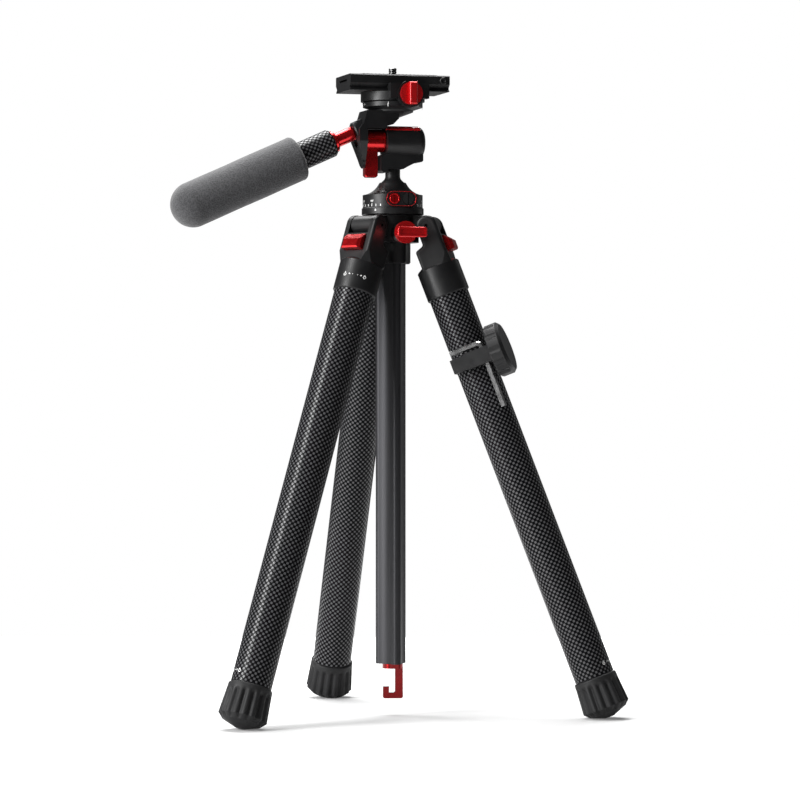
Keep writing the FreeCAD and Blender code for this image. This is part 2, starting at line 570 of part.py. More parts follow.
def make_ball_head():
    base = Piece("head_base")
    edge = 0.6
    profile = [(0, 0), (f"base_radius - {edge}", 0), ("base_radius", edge),
               ("base_radius", f"base_height - {edge}"),
               (f"base_radius - {edge}", "base_height"), (0, "base_height")]
    base.revolve(base.sketch("XZ", [profile]))
    base.pad(base.sketch("XY", [("circle", 0, 0, "base_spigot_radius")]), "plug_depth", reverse=True)
    base.place(on_axis("crown_deck + joint_gap", "head_yaw"))

    cavity = "(ball_radius + joint_gap)"
    mouth = f"sqrt({cavity} ^ 2 - ball_drop ^ 2)"
    height = "(housing_height + cone_height)"
    housing = Piece("ball_housing")
    profile = [(0, 0), ("housing_radius", 0), ("housing_radius", "housing_height", "cone_hollow", 1),
               (f"{mouth} + 1.4", f"{height} - 0.8"), (f"{mouth} + 0.8", height),
               (mouth, height, cavity, 1),
               (cavity, f"{height} - ball_drop"), (cavity, "housing_floor"), (0, "housing_floor")]
    housing.revolve(housing.sketch("XZ", [profile]))
    oval = stadium("bezel_width", "bezel_height", "0", "bezel_rise")
    housing.pocket(housing.sketch("YZ", [oval], "housing_radius + 3", -90), "bezel_depth + 3")
    housing.place(on_axis("housing_base", "head_yaw"))

    bezel = Piece("lock_bezel")
    holes = [("circle", f"{side} * small_knob_spacing / 2", "bezel_rise", "small_knob_radius + joint_gap")
             for side in (-1, 1)]
    bezel.pad(bezel.sketch("YZ", [oval] + holes, "housing_radius - bezel_depth", -90), "bezel_depth + 0.9")
    bezel.place(on_axis("housing_base", "head_yaw"))

    for name, side in (("ball_lock_knob", -1), ("pan_lock_knob", 1)):
        knob = Piece(name)
        knob.pad(knob.sketch("YZ", [("circle", 0, 0, "small_knob_radius")]), "small_knob_length")
        knob.pocket(knob.sketch("YZ", [box_outline(-0.6, -6, 0.6, 6)], "small_knob_length"), "0.8")
        place = on_axis("housing_base", "head_yaw - 90")
        offset = vector("housing_radius - bezel_depth + joint_gap", f"{side} * small_knob_spacing / 2",
                        "bezel_rise")
        knob.place(place.multiply(FreeCAD.Placement(offset, FreeCAD.Rotation())))

    cup = Piece("ball_cup")
    seat = "(ball_radius + running_gap)"
    rim = f"({seat} * cos(60))"
    profile = [(0, f"-({height} - ball_drop - housing_floor - running_gap)"),
               (f"{seat} - 0.1", f"-({height} - ball_drop - housing_floor - running_gap)"),
               (f"{seat} - 0.1", f"-{rim}"), (f"{seat} * sin(60)", f"-{rim}", seat, 1), (0, f"-{seat}")]
    cup.revolve(cup.sketch("XZ", [profile]))
    cup.place(on_axis("ball_height", "head_yaw"))

    stem = Piece("ball_stem")
    flare_start = "sqrt(ball_radius ^ 2 - flare_radius ^ 2)"
    profile = [(0, "-ball_radius", "ball_radius", -1), ("flare_radius", flare_start, "flare_hollow", 1),
               ("neck_radius", f"{flare_start} + flare_height"),
               ("neck_radius", "ball_drop + tilt_rise - bracket_drop"),
               (0, "ball_drop + tilt_rise - bracket_drop")]
    stem.revolve(stem.sketch("XZ", [profile]))
    stem.place(on_axis("ball_height", "head_yaw"))


# ---------------------------------------------------------------- tilt unit

def barrel_band(inner, outer):
    """A ring sector on the upper front of the barrel, in the plane across its axis."""
    low, high = 90 + BAND_START, 90 + BAND_END
    inner, outer = f"({inner})", f"({outer})"
    return [(f"{outer} * cos({low})", f"{outer} * sin({low})", outer, -1),
            (f"{outer} * cos({high})", f"{outer} * sin({high})"),
            (f"{inner} * cos({high})", f"{inner} * sin({high})", inner, 1),
            (f"{inner} * cos({low})", f"{inner} * sin({low})")]


def make_tilt_unit():
    frame = on_axis("tilt_height", "head_yaw")
    body = Piece("tilt_body")
    profile = [("-barrel_left", 0), ("barrel_right", 0), ("barrel_right",
                                                          "barrel_radius - barrel_round",
                                                          "barrel_round", -1),
               ("barrel_right - barrel_round", "barrel_radius"), ("-barrel_left", "barrel_radius")]
    body.revolve(body.sketch("XZ", [profile]), "H_Axis")
    bracket = [("-barrel_left", "-barrel_radius / 2"), ("-barrel_left", "-(lever_hub_radius + 1)"),
               ("-lobe_reach", "-(lever_hub_radius + 3)"), ("-lobe_reach", "-(lobe_drop - 1.4)"),
               ("-(lobe_reach - 1.4)", "-lobe_drop"), ("-neck_radius", "-lobe_drop"),
               ("-neck_radius", "-bracket_drop"),
               ("neck_radius + 0.4", "-bracket_drop"), ("bracket_reach / 2", "-(bracket_drop - 2.6)"),
               ("bracket_reach - 5.4", "-(bracket_lip + 1.4)"), ("bracket_reach - 1", "-(bracket_lip + 1)"),
               ("bracket_reach", "-bracket_lip"), ("bracket_reach", "-barrel_radius / 2")]
    body.pad(body.sketch("XZ", [bracket]), "bracket_width", symmetric=True)
    body.pocket(body.sketch("YZ", [("circle", 0, 0, "shaft_radius + running_gap")], "-barrel_left - 1"),
                "barrel_left + shaft_end + 2", reverse=True)
    body.pocket(body.sketch("YZ", [barrel_band("barrel_radius - 1.2", "barrel_radius + 1")],
                            "-barrel_left - 1"),
                "barrel_left + strip_length + 1", reverse=True)
    body.place(frame)

    strip = Piece("accent_strip")
    strip.pad(strip.sketch("YZ", [barrel_band("barrel_radius - 1.2", "barrel_radius + 0.25")],
                           "-barrel_left"),
              "strip_length")
    strip.place(frame)

    lever = Piece("tilt_lock_lever")
    left, right = "-(ear_inner - joint_gap)", "-(barrel_left + joint_gap)"
    hub = [(left, 0), (right, 0), (right, "lever_hub_radius"), (f"{left} + 0.8", "lever_hub_radius"),
           (left, "lever_hub_radius - 0.8")]
    lever.revolve(lever.sketch("XZ", [hub]), "H_Axis")
    paddle = [(left, "-lever_hub_radius / 2"), (left, "-(lever_reach - 1.2)"),
              (f"{left} + 1.2", "-lever_reach"),
              ("-(lever_right + 1.2)", "-lever_reach"), ("-lever_right", "-(lever_reach - 1.2)"),
              ("-lever_right", "-lever_hub_radius / 2")]
    lever.pad(lever.sketch("XZ", [paddle]), "lever_thickness", symmetric=True)
    lever.soften("Fillet", "0.9", lambda e: at_ends(e, "y", "lever_thickness / 2")
                 and e.BoundBox.ZMax < -num("lever_reach") + 1.3)
    lever.pocket(lever.sketch("YZ", [("circle", 0, 0, "shaft_radius + running_gap")]), through=True,
                 symmetric=True)
    lever.place(frame)

    make_tilt_arm(frame)
    shaft = Piece("tilt_shaft")
    shaft.pad(shaft.sketch("YZ", [("circle", 0, 0, "shaft_radius")], "-(ear_left - shaft_recess)"),
              "ear_left - shaft_recess + shaft_end")
    shaft.place(frame)


def make_tilt_arm(frame):
    arm = Piece("tilt_arm")
    across = [("-arm_ear_radius", 0), ("-ear_tip_radius", "-ear_tip_drop", "ear_tip_radius", -1),
              ("ear_tip_radius", "-ear_tip_drop"), ("arm_ear_radius", 0),
              ("arm_half_width", "platform_rise - 3"),
              ("-arm_half_width", "platform_rise - 3")]
    arm.pad(arm.sketch("YZ", [across], "-ear_left"), "ear_left + arm_right")
    outside = "-(ear_left + 1)"
    above = [(outside, "handle_rise + 1"), ("-(ear_left - shoulder_slope / 2)", "platform_rise / 2"),
             ("-(ear_left - shoulder_slope)", "platform_rise - 2"), (outside, "platform_rise - 2")]
    below = [(outside, 4), (outside, "-(ear_tip_drop + ear_tip_radius + 1)"),
             ("-(ear_inner + ear_tip_thickness)", "-(ear_tip_drop + ear_tip_radius + 1)")]
    for wedge in (above, below):
        arm.pocket(arm.sketch("XZ", [wedge]), "60", symmetric=True)
    boss = [(-11, 0), ("0.8", 0), ("0.8", "boss_sleeve_radius - 0.8"), (0, "boss_sleeve_radius"),
            (-11, "boss_sleeve_radius")]
    arm.revolve(arm.sketch("XZ", [boss], pivot=("-handle_x", "handle_rise", "180 + handle_drop")), "H_Axis")
    hub_roof = "lever_hub_radius + 2 * joint_gap + 1.6"
    roof = "barrel_radius + barrel_clearance"
    inside = "-(barrel_left + 0.4)"
    well = [("-ear_inner", -30), ("arm_right + 5", -30), ("arm_right + 5", f"{roof} + 4"),
            ("arm_right - 0.4", f"{roof} + 4"), ("arm_right - 4.4", roof), (inside, roof),
            (inside, hub_roof),
            ("-ear_inner", hub_roof)]
    arm.pocket(arm.sketch("XZ", [well]), "60", symmetric=True)
    top = "platform_rise + platform_height"
    cone = [(0, top), (0, "platform_rise - 7.4"), (5, "platform_rise - 7.4"),
            ("15.2", "platform_rise - 3.6"),
            ("15.6", "platform_rise - 2.2"), ("platform_radius", "platform_rise"),
            ("platform_radius", f"{top} - 0.5"),
            ("platform_radius - 0.5", top)]
    arm.revolve(arm.sketch("XZ", [cone]))
    arm.pocket(arm.sketch("YZ", [("circle", 0, 0, "shaft_radius")], "-ear_inner + 1"), "ear_left")
    arm.place(frame)


def handle_frame():
    """Origin where the handle leaves the tilt arm, X along the handle, away from the head."""
    frame = on_axis("tilt_height", "head_yaw")
    turn = FreeCAD.Rotation(Y_AXIS, 180 - num("handle_drop"))
    return frame.multiply(FreeCAD.Placement(vector("-handle_x", 0, "handle_rise"), turn))


def make_handle():
    frame = handle_frame()
    rod = "connector_radius"
    connector = Piece("handle_connector")
    profile = [("0.8", 0), ("connector_length", 0), ("connector_length", rod), ("2.4", rod),
               ("0.8", f"{rod} - 1.2")]
    connector.revolve(connector.sketch("XZ", [profile]), "H_Axis")
    connector.place(frame)
    ring = Piece("handle_ring")
    end = "connector_length + handle_ring_length"
    profile = [("connector_length", 0), (end, 0), (end, "handle_ring_radius"),
               ("connector_length + 1.2", "handle_ring_radius"),
               ("connector_length", "handle_ring_radius - 1.6")]
    ring.revolve(ring.sketch("XZ", [profile]), "H_Axis")
    ring.place(frame)
    tube = Piece("handle_tube")
    bore = "handle_tube_radius - tube_wall"
    profile = [(end, bore), (end, "handle_tube_radius - 1.4"), (f"{end} + 1.6", "handle_tube_radius"),
               (f"{end} + handle_tube_length", "handle_tube_radius"), (f"{end} + handle_tube_length", bore)]
    tube.revolve(tube.sketch("XZ", [profile]), "H_Axis")
    tube.place(frame)
    grip = Piece("foam_grip")
    tip = "grip_start + grip_length"
    profile = [("grip_start", "handle_tube_radius"), (f"{end} + handle_tube_length", "handle_tube_radius"),
               (f"{end} + handle_tube_length", 0), (tip, 0, "grip_radius", -1),
               (f"{tip} - grip_radius", "grip_radius"), ("grip_start + 4", "grip_radius", "4", -1),
               ("grip_start", "grip_radius - 4")]
    grip.revolve(grip.sketch("XZ", [profile]), "H_Axis")
    grip.place(frame)


# ---------------------------------------------------------------- clamp and plate

def make_clamp():
    frame = on_axis("disc_bottom", "head_yaw")
    body = Piece("clamp_body")
    body.pad(body.sketch("XY", [("circle", 0, 0, "disc_radius")]), "disc_height")
    neck = "plate_width / 2 - plate_groove + joint_gap"
    edge = "plate_width / 2 - 0.3"
    base = "disc_height + disc_gap"
    slab = "plate_height - plate_slab"
    jaw_top = f"{base} + {slab} - 0.1"
    jaw = [("-clamp_front", 1), (f"-({edge})", 1), (f"-({edge})", f"{base} + {slab} - 4.6"),
           (f"-({neck})", f"{base} + {slab} - 2.8"), (f"-({neck} + 2.9)", jaw_top),
           ("-clamp_front", jaw_top)]
    body.pad(body.sketch("YZ", [jaw], "-clamp_block_left"), "clamp_block_left + clamp_block_right")
    body.pad(body.sketch("YZ", [("circle", "clamp_knob_shift", "knob_rise", "clamp_ring_radius")],
                         "platform_radius + 0.7",
                         -90), "clamp_front + 1 - platform_radius - 0.7")
    body.pocket(body.sketch("XY", [box_outline("-(jaw_length / 2 + joint_gap)", "jaw_back - joint_gap",
                                               "jaw_length / 2 + joint_gap", 40)], "disc_height + 1"),
                                               through=True)
    body.pocket(body.sketch("YZ", [("circle", "clamp_knob_shift", "knob_rise",
                                    "clamp_rod_radius + running_gap")],
                            "clamp_front + 2", -90), "60")
    body.place(frame)

    rear = Piece("clamp_jaw")
    jaw = [("jaw_back", "0.6"), ("jaw_back + 5.4", "0.6"), ("jaw_back + 5.4", jaw_top),
           (f"{neck} + 2.9", jaw_top),
           (neck, f"{base} + {slab} - 2.8"), (edge, f"{base} + {slab} - 4.6"), (edge, f"{base} - 0.2"),
           ("jaw_back", f"{base} - 0.2")]
    rear.pad(rear.sketch("YZ", [jaw], "-jaw_length / 2"), "jaw_length")
    rear.pocket(rear.sketch("YZ", [("circle", "clamp_knob_shift", "knob_rise",
                                    "clamp_rod_radius + running_gap")],
                            "clamp_front + 2", -90), "60")
    rear.place(frame)

    knob = Piece("clamp_knob")
    front = "clamp_front + 1 + joint_gap"
    at = ("clamp_knob_shift", "knob_rise")
    knob.pad(knob.sketch("YZ", [("circle", *at, "clamp_knob_radius")], front, -90), "2.4")
    bar = box_outline("clamp_knob_shift - clamp_bar_width / 2", "knob_rise - clamp_knob_radius + 0.2",
                      "clamp_knob_shift + clamp_bar_width / 2", "knob_rise + clamp_knob_radius - 0.2")
    knob.pad(knob.sketch("YZ", [bar], f"{front} + 2.4", -90), "clamp_knob_length")
    knob.soften("Fillet", "1.2",
                lambda e: e.BoundBox.YMax < -num(f"{front} + 2.4 + clamp_knob_length") + 0.01)
    knob.place(frame)
    rod = Piece("clamp_rod")
    rod.pad(rod.sketch("YZ", [("circle", *at, "clamp_rod_radius")], front, -90),
            f"{front} + jaw_back + 4.5",
            reverse=True)
    rod.place(frame)


def make_plate():
    frame = on_axis("plate_base", "head_yaw")
    plate = Piece("quick_release_plate")
    half = "plate_width / 2"
    slab = "plate_height - plate_slab"
    across = []
    for side in (1, -1):
        points = [(f"{side} * ({half} - 0.9)", "0"), (f"{side} * ({half} - 0.9)", f"{slab} - 4.8"),
                  (f"{side} * ({half} - plate_groove)", f"{slab} - 2.8"), (f"{side} * {half}", slab),
                  (f"{side} * {half}", "plate_height - 0.8"), (f"{side} * ({half} - 0.8)", "plate_height")]
        across += points if side == 1 else points[::-1]
    plate.pad(plate.sketch("YZ", [across]), "plate_length", symmetric=True)
    plate.pocket(plate.sketch("XY", [stadium("screw_slot", "2 * (screw_radius + 0.2)")],
                              "plate_height"), through=True)
    plate.pocket(plate.sketch("XY", [stadium("screw_slot + 2 * (screw_head_radius - screw_radius)",
                                             "2 * (screw_head_radius + 0.2)")]), "plate_height - 4.4",
                                             reverse=True)
    strips = [stadium("pad_length", "pad_width", "0", f"{row} * pad_row") for row in (-1, 1)]
    plate.pocket(plate.sketch("XY", strips, "plate_height"), "pad_recess")
    plate.pocket(plate.sketch("YZ", [box_outline("-half_slot", "plate_height - 5", "half_slot",
                                                 "plate_height - 3.4")],
                              "-plate_length / 2"), "5", reverse=True)
    plate.place(frame)
    pads = Piece("plate_pads")
    pads.body.AllowCompound = True
    pads.pad(pads.sketch("XY", strips, "plate_height - pad_recess"), "pad_recess + pad_rise")
    pads.place(frame)
    screw = Piece("camera_screw")
    profile = [(0, "0.6"), ("screw_head_radius", "0.6"), ("screw_head_radius", "plate_height - 4.6"),
               ("screw_neck_radius", "plate_height - 4.6"), ("screw_neck_radius", "plate_height + 0.2"),
               ("screw_radius", "plate_height + 0.2"), ("screw_radius", "plate_height + screw_rise - 0.6"),
               ("screw_radius - 0.6", "plate_height + screw_rise"), (0, "plate_height + screw_rise")]
    screw.revolve(screw.sketch("XZ", [profile]))
    screw.place(frame)


# ---------------------------------------------------------------- accessory clip

def make_clip():
    frame = leg_frame(LEGS["right"]).multiply(FreeCAD.Placement(vector(z="-clip_drop"), FreeCAD.Rotation()))
    body = Piece("clip_body")
    wall = "(tube_radius + band_gap + band_wall)"
    body.pad(body.sketch("XY", [("circle", 0, 0, wall)]), "clip_height", symmetric=True)
    body.pad(body.sketch("XY", [box_outline("-clip_left", "-(clip_front - 3.6)", "clip_split + 3",
                                            "-tube_radius * 0.6")]),
             "clip_height", symmetric=True)
    body.pad(body.sketch("XY", [box_outline("clip_split", "-clip_front", "clip_right",
                                            "-tube_radius * 0.6")]),
             "clip_height + 1.4", symmetric=True)
    body.pocket(body.sketch("XY", [("circle", 0, 0, "tube_radius + band_gap")]), "40", symmetric=True)
    mouth = [(0, 0), ("-60 * cos(clip_mouth)", "-60 * sin(clip_mouth)"),
             ("-60 * cos(clip_mouth)", "60 * sin(clip_mouth)")]
    body.pocket(body.sketch("XY", [mouth]), "40", symmetric=True)
    body.pocket(body.sketch("YZ", [("circle", "-clip_screw_depth", 0, "clip_screw_radius + running_gap")],
                            "clip_right + 1"), "clip_screw_reach + 1")
    body.pocket(body.sketch("XY", [("circle", "key_x", "-key_depth", "key_radius + running_gap")]), "40",
                symmetric=True)
    body.place(frame)

    knob = Piece("clip_knob")
    start = "clip_right + joint_gap"
    end = f"{start} + clip_knob_length"
    profile = [(start, 0), (end, 0), (end, "clip_knob_radius - 2.2"), (f"{end} - 2.2", "clip_knob_radius"),
               (f"{start} + 1", "clip_knob_radius"), (start, "clip_knob_radius - 1")]
    knob.revolve(knob.sketch("XZ", [profile]), "H_Axis")
    flute = knob.pocket(knob.sketch("YZ", [("circle", 0, "clip_knob_radius + 3.4", "4.4")], start),
                        "clip_knob_length - 3", reverse=True)
    knob.polar([flute], KNOB_FLUTES, "X_Axis")
    knob_frame = frame.multiply(FreeCAD.Placement(vector(y="-clip_screw_depth"), FreeCAD.Rotation()))
    knob.place(knob_frame)
    screw = Piece("clip_screw")
    screw.pad(screw.sketch("YZ", [("circle", 0, 0, "clip_screw_radius")], start),
              "clip_screw_reach + joint_gap - 1", reverse=True)
    screw.place(knob_frame)

    key = Piece("hex_key")
    key.place(frame)
    make_hex_key(key)


def make_hex_key(key):
    """A hexagon swept along the key's long arm, bend and short arm."""
    path = key.feature("Sketcher::SketchObject")
    support = [o for o in key.body.Origin.OriginFeatures if o.Role == "XZ_Plane"][0]
    path.AttachmentSupport = [(support, "")]
    path.MapMode = "FlatFace"
    path.AttachmentOffset = FreeCAD.Placement(vector(z="key_depth"), FreeCAD.Rotation())
    path.setExpression("AttachmentOffset.Base.z", bound("key_depth"))
    top = "clip_height / 2 + 0.7 + key_bend + joint_gap"
    low = f"{top} - key_long"
    corner = "key_bend * (1 - cos(45))"
    points = [("key_x", low), ("key_x", f"{top} - key_bend"), (f"key_x - key_bend", top),
              ("key_x - key_short", top)]
    long_arm = Part.LineSegment(vector(*points[0]), vector(*points[1]))
    middle = vector(f"key_x - {corner}", f"{top} - {corner}")
    bend = Part.Arc(vector(*points[1]), middle, vector(*points[2]))
    short_arm = Part.LineSegment(vector(*points[2]), vector(*points[3]))
    path.addGeometry([long_arm, bend, short_arm], False)
    path.addConstraint([Sketcher.Constraint("Coincident", 0, 2, 1, 1),
                        Sketcher.Constraint("Coincident", 1, 2, 2, 1)])
    for index, position, point in ((0, 1, 0), (0, 2, 1), (2, 1, 2), (2, 2, 3)):
        pin_point(path, index, position, *points[point])
    hexagon = [(f"key_x + key_radius * cos({60 * i})",
                f"-key_depth + key_radius * sin({60 * i})") for i in range(6)]
    profile = key.sketch("XY", [hexagon], low)
    sweep = key.feature("PartDesign::AdditivePipe")
    sweep.Profile = profile
    sweep.Spine = (path, ["Edge1", "Edge2", "Edge3"])
    key.body.Tip = sweep


# ---------------------------------------------------------------- build

def write_parts():
    """Check every object, then write one file for each part."""
    doc.recompute()
    faults = [f"{o.Name}: {o.State}" for o in doc.Objects if {"Invalid", "Error"} & set(o.State)]
    for part in parts:
        if part.Shape.isNull() or not part.Shape.isValid():
            faults.append(f"{part.Label}: no valid shape")
    if faults:
        raise RuntimeError("; ".join(faults))
    os.makedirs("parts", exist_ok=True)
    for part in parts:
        part.Shape.exportStep(f"parts/{part.Label}.step")
        print(part.Label, round(part.Shape.Volume, 1), len(part.Shape.Solids))


make_crown()
make_column_lock()
for leg_side, leg_turn in LEGS.items():
    make_leg(leg_side, leg_turn)
make_column()
make_ball_head()
make_tilt_unit()
make_handle()
make_clamp()
make_plate()
make_clip()
write_parts()
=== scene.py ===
import json
import math

import bmesh
import bpy
import numpy as np
from mathutils import Matrix, Vector


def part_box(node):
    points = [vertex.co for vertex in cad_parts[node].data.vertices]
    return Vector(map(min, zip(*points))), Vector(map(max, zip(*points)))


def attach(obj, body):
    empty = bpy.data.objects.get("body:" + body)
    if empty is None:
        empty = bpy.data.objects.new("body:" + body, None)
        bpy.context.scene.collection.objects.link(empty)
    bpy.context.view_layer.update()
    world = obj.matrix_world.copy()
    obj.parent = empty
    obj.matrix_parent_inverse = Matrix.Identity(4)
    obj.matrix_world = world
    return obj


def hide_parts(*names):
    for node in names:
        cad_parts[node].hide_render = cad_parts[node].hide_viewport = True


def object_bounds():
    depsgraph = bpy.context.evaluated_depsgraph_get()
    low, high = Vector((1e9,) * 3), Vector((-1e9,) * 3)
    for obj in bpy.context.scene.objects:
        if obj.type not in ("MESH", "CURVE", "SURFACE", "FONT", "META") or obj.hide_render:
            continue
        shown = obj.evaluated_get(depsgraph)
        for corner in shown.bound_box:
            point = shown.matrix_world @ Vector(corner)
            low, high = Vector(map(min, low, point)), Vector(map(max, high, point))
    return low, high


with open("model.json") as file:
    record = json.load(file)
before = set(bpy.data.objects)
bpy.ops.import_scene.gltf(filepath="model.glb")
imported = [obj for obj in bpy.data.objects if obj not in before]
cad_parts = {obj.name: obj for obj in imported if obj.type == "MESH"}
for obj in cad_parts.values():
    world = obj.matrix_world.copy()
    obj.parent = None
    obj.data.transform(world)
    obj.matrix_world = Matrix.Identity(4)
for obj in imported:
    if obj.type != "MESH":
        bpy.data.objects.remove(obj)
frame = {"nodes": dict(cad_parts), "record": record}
cad_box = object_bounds()

# Travel tripod with fluid head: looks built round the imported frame, in metres.

MM = 0.001
SIDES = ("right", "rear", "left")

# Carbon laminate: the side of one check, and its two colours; the lighter colour is painted sheen
# on the glossy checks
WEAVE_CELL = 1.95 * MM
WEAVE_DARK = (0.0016, 0.0016, 0.002, 1)
WEAVE_SHEEN_CHECK = (0.068, 0.068, 0.071, 1)

# Marks painted on the object stand this far proud, as a solid skin
PAINT = 0.06 * MM

# Radii and rows of the CAD model that a node's box doesn't give
FOOT_PAD_RADIUS = 14.4 * MM
FOOT_TIP_RADIUS = 3.5 * MM
COLLAR_RADIUS = 16.25 * MM
CLAMP_DISC_RADIUS = 24.0 * MM
PLATFORM_RADIUS = 22.5 * MM
PAD_ROW = 13.6 * MM

# Feet: moulded ribs and the depth of the flutes between them
FOOT_RIBS = 16
FLUTE_DEPTH = 1.7 * MM

# Camera screw, 1/4 inch thread
THREAD_RADIUS = 3.175 * MM
THREAD_PITCH = 1.27 * MM
THREAD_DEPTH = 0.5 * MM
THREAD_LENGTH = 7.0 * MM
SCREW_NECK_RADIUS = 2.7 * MM

# How far the pictograms on a leg face round from straight outwards, in degrees
MARKS_TURN = 41.6
FOOT_MARKS_TURN = 62

# Level camera, far back, with a long lens
CAMERA_AT = (5.5 * MM, -2600 * MM, 235.8 * MM)
CAMERA_LENS = 156


# ---------------------------------------------------------------- places read from the frame

def points(node):
    mesh = frame["nodes"][node].data
    flat = np.empty(len(mesh.vertices) * 3)
    mesh.vertices.foreach_get("co", flat)
    return flat.reshape(-1, 3)


def middle(node):
    low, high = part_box(node)
    return (Vector(low) + Vector(high)) / 2


def turned(node, towards):
    """(matrix, start, end, radius) of a long turned node. The matrix has its origin at the middle
    of the node's box and Z along its axis, pointing towards a given direction."""
    cloud = points(node)
    centre = np.array(middle(node))
    values, vectors = np.linalg.eigh(np.cov((cloud - centre).T))
    axis = Vector(vectors[:, int(np.argmax(values))])
    if axis.dot(Vector(towards)) < 0:
        axis = -axis
    axis.normalize()
    side = Vector((0, 0, 1)) - axis * axis.z
    side.normalize()
    basis = Matrix((side, axis.cross(side), axis)).transposed().to_4x4()
    matrix = Matrix.Translation(Vector(centre)) @ basis
    local = (cloud - centre) @ np.array(basis.to_3x3())
    reach = np.hypot(local[:, 0], local[:, 1])
    return matrix, float(local[:, 2].min()), float(local[:, 2].max()), float(reach.max())


def upright(node):
    """(matrix, bottom, top, radius) of a node turned about the vertical."""
    low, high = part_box(node)
    centre = middle(node)
    matrix = Matrix.Translation((centre.x, centre.y, 0))
    return matrix, low[2], high[2], (high[0] - low[0]) / 2


def joint(name):
    return next(j for j in frame["record"]["behaviour"]["joints"] if j["name"] == name)


# ---------------------------------------------------------------- materials

class Shader:
    """A Principled material and short calls for the nodes that vary it."""

    def __init__(self, name, color, roughness, **sockets):
        self.material = bpy.data.materials.new(name)
        self.material.use_nodes = True
        self.tree = self.material.node_tree
        self.bsdf = self.tree.nodes["Principled BSDF"]
        self.bsdf.inputs["Base Color"].default_value = (*color, 1)
        self.bsdf.inputs["Roughness"].default_value = roughness
        for socket, value in sockets.items():
            self.bsdf.inputs[socket.replace("_", " ")].default_value = value
        coordinates = self.tree.nodes.new("ShaderNodeTexCoord")
        self.place = coordinates.outputs["Object"]
        self.normal = None

    def link(self, source, target):
        self.tree.links.new(source, target)

    def node(self, kind, **values):
        node = self.tree.nodes.new(f"ShaderNode{kind}")
        for key, value in values.items():
            setattr(node, key, value)
        return node

    def math(self, operation, a, b=0.0):
        node = self.node("Math", operation=operation)
        for socket, value in zip(node.inputs, (a, b)):
            if isinstance(value, (int, float)):
                socket.default_value = value
            else:
                self.link(value, socket)
        return node.outputs[0]

    def noise(self, scale, detail=4.0, stretch=None, roughness=0.55):
        node = self.node("TexNoise")
        node.inputs["Scale"].default_value = scale
        node.inputs["Detail"].default_value = detail
        node.inputs["Roughness"].default_value = roughness
        source = self.place
        if stretch:
            mapping = self.node("Mapping")
            mapping.inputs["Scale"].default_value = stretch
            self.link(source, mapping.inputs["Vector"])
            source = mapping.outputs["Vector"]
        self.link(source, node.inputs["Vector"])
        return node.outputs[0]

    def cells(self, scale):
        node = self.node("TexVoronoi")
        node.inputs["Scale"].default_value = scale
        self.link(self.place, node.inputs["Vector"])
        return node.outputs["Distance"]

    def spread(self, value, low, high, start=0.3, end=0.7):
        node = self.node("MapRange")
        limits = {"From Min": start, "From Max": end, "To Min": low, "To Max": high}
        for socket, number in limits.items():
            node.inputs[socket].default_value = number
        self.link(value, node.inputs["Value"])
        return node.outputs["Result"]

    def rough(self, value, low, high):
        self.link(self.spread(value, low, high), self.bsdf.inputs["Roughness"])

    def tint(self, value, dark, light, start=0.3, end=0.7):
        ramp = self.node("ValToRGB")
        ramp.color_ramp.elements[0].position = start
        ramp.color_ramp.elements[0].color = dark
        ramp.color_ramp.elements[1].position = end
        ramp.color_ramp.elements[1].color = light
        self.link(value, ramp.inputs["Fac"])
        self.link(ramp.outputs["Color"], self.bsdf.inputs["Base Color"])

    def bump(self, height, strength, distance):
        node = self.node("Bump")
        node.inputs["Strength"].default_value = strength
        node.inputs["Distance"].default_value = distance
        self.link(height, node.inputs["Height"])
        if self.normal:
            self.link(self.normal, node.inputs["Normal"])
        self.normal = node.outputs["Normal"]
        self.link(self.normal, self.bsdf.inputs["Normal"])


def carbon(name, matrix, radius):
    """Plain weave laid round a tube: glossy bundles along it, dull ones across, a check each. The
    glossy checks' lighter base colour is a painted sheen over the real check pattern.
    """
    shader = Shader(name, WEAVE_SHEEN_CHECK[:3], 0.3, Coat_Weight=0.05, Coat_Roughness=0.1)
    mapping = shader.node("Mapping", vector_type="TEXTURE")
    mapping.inputs["Location"].default_value = matrix.translation
    mapping.inputs["Rotation"].default_value = matrix.to_euler()
    shader.link(shader.place, mapping.inputs["Vector"])
    split = shader.node("SeparateXYZ")
    shader.link(mapping.outputs["Vector"], split.inputs["Vector"])
    around_cells = 2 * round(math.pi * radius / WEAVE_CELL)
    turn = shader.math("ARCTAN2", split.outputs["Y"], split.outputs["X"])
    around = shader.math("MULTIPLY", turn, around_cells / (2 * math.pi))
    along = shader.math("MULTIPLY", split.outputs["Z"], 1 / WEAVE_CELL)
    cell = shader.math("ADD", shader.math("FLOOR", around), shader.math("FLOOR", along))
    parity = shader.math("PINGPONG", cell, 1)
    rise = [shader.math("ABSOLUTE", shader.math("SINE", shader.math("MULTIPLY", value, math.pi)))
            for value in (around, along)]
    up, across = [shader.math("POWER", value, 0.35) for value in rise]
    height = shader.math("ADD", shader.math("MULTIPLY", up, shader.math("SUBTRACT", 1, parity)),
                         shader.math("MULTIPLY", across, parity))
    fibres = shader.noise(1, 3, (2600, 2600, 500))
    # Glossy checks of the real weave; the lighter base colour given to them below is painted sheen
    light = shader.math("MULTIPLY", parity, shader.math("MULTIPLY", up, across))
    streaks = shader.math("MULTIPLY", shader.math("SUBTRACT", fibres, 0.5), 0.3)
    shade = shader.math("ADD", light, streaks)
    shader.tint(shade, WEAVE_DARK, WEAVE_SHEEN_CHECK, 0.25, 0.85)
    gloss = shader.spread(light, 0.04, 0.26, 0.2, 0.8)
    shader.link(gloss, shader.bsdf.inputs["Specular IOR Level"])
    shader.link(shader.spread(parity, 0.5, 0.26, 0, 1), shader.bsdf.inputs["Roughness"])
    shader.bump(height, 0.25, 0.04 * MM)
    return shader.material


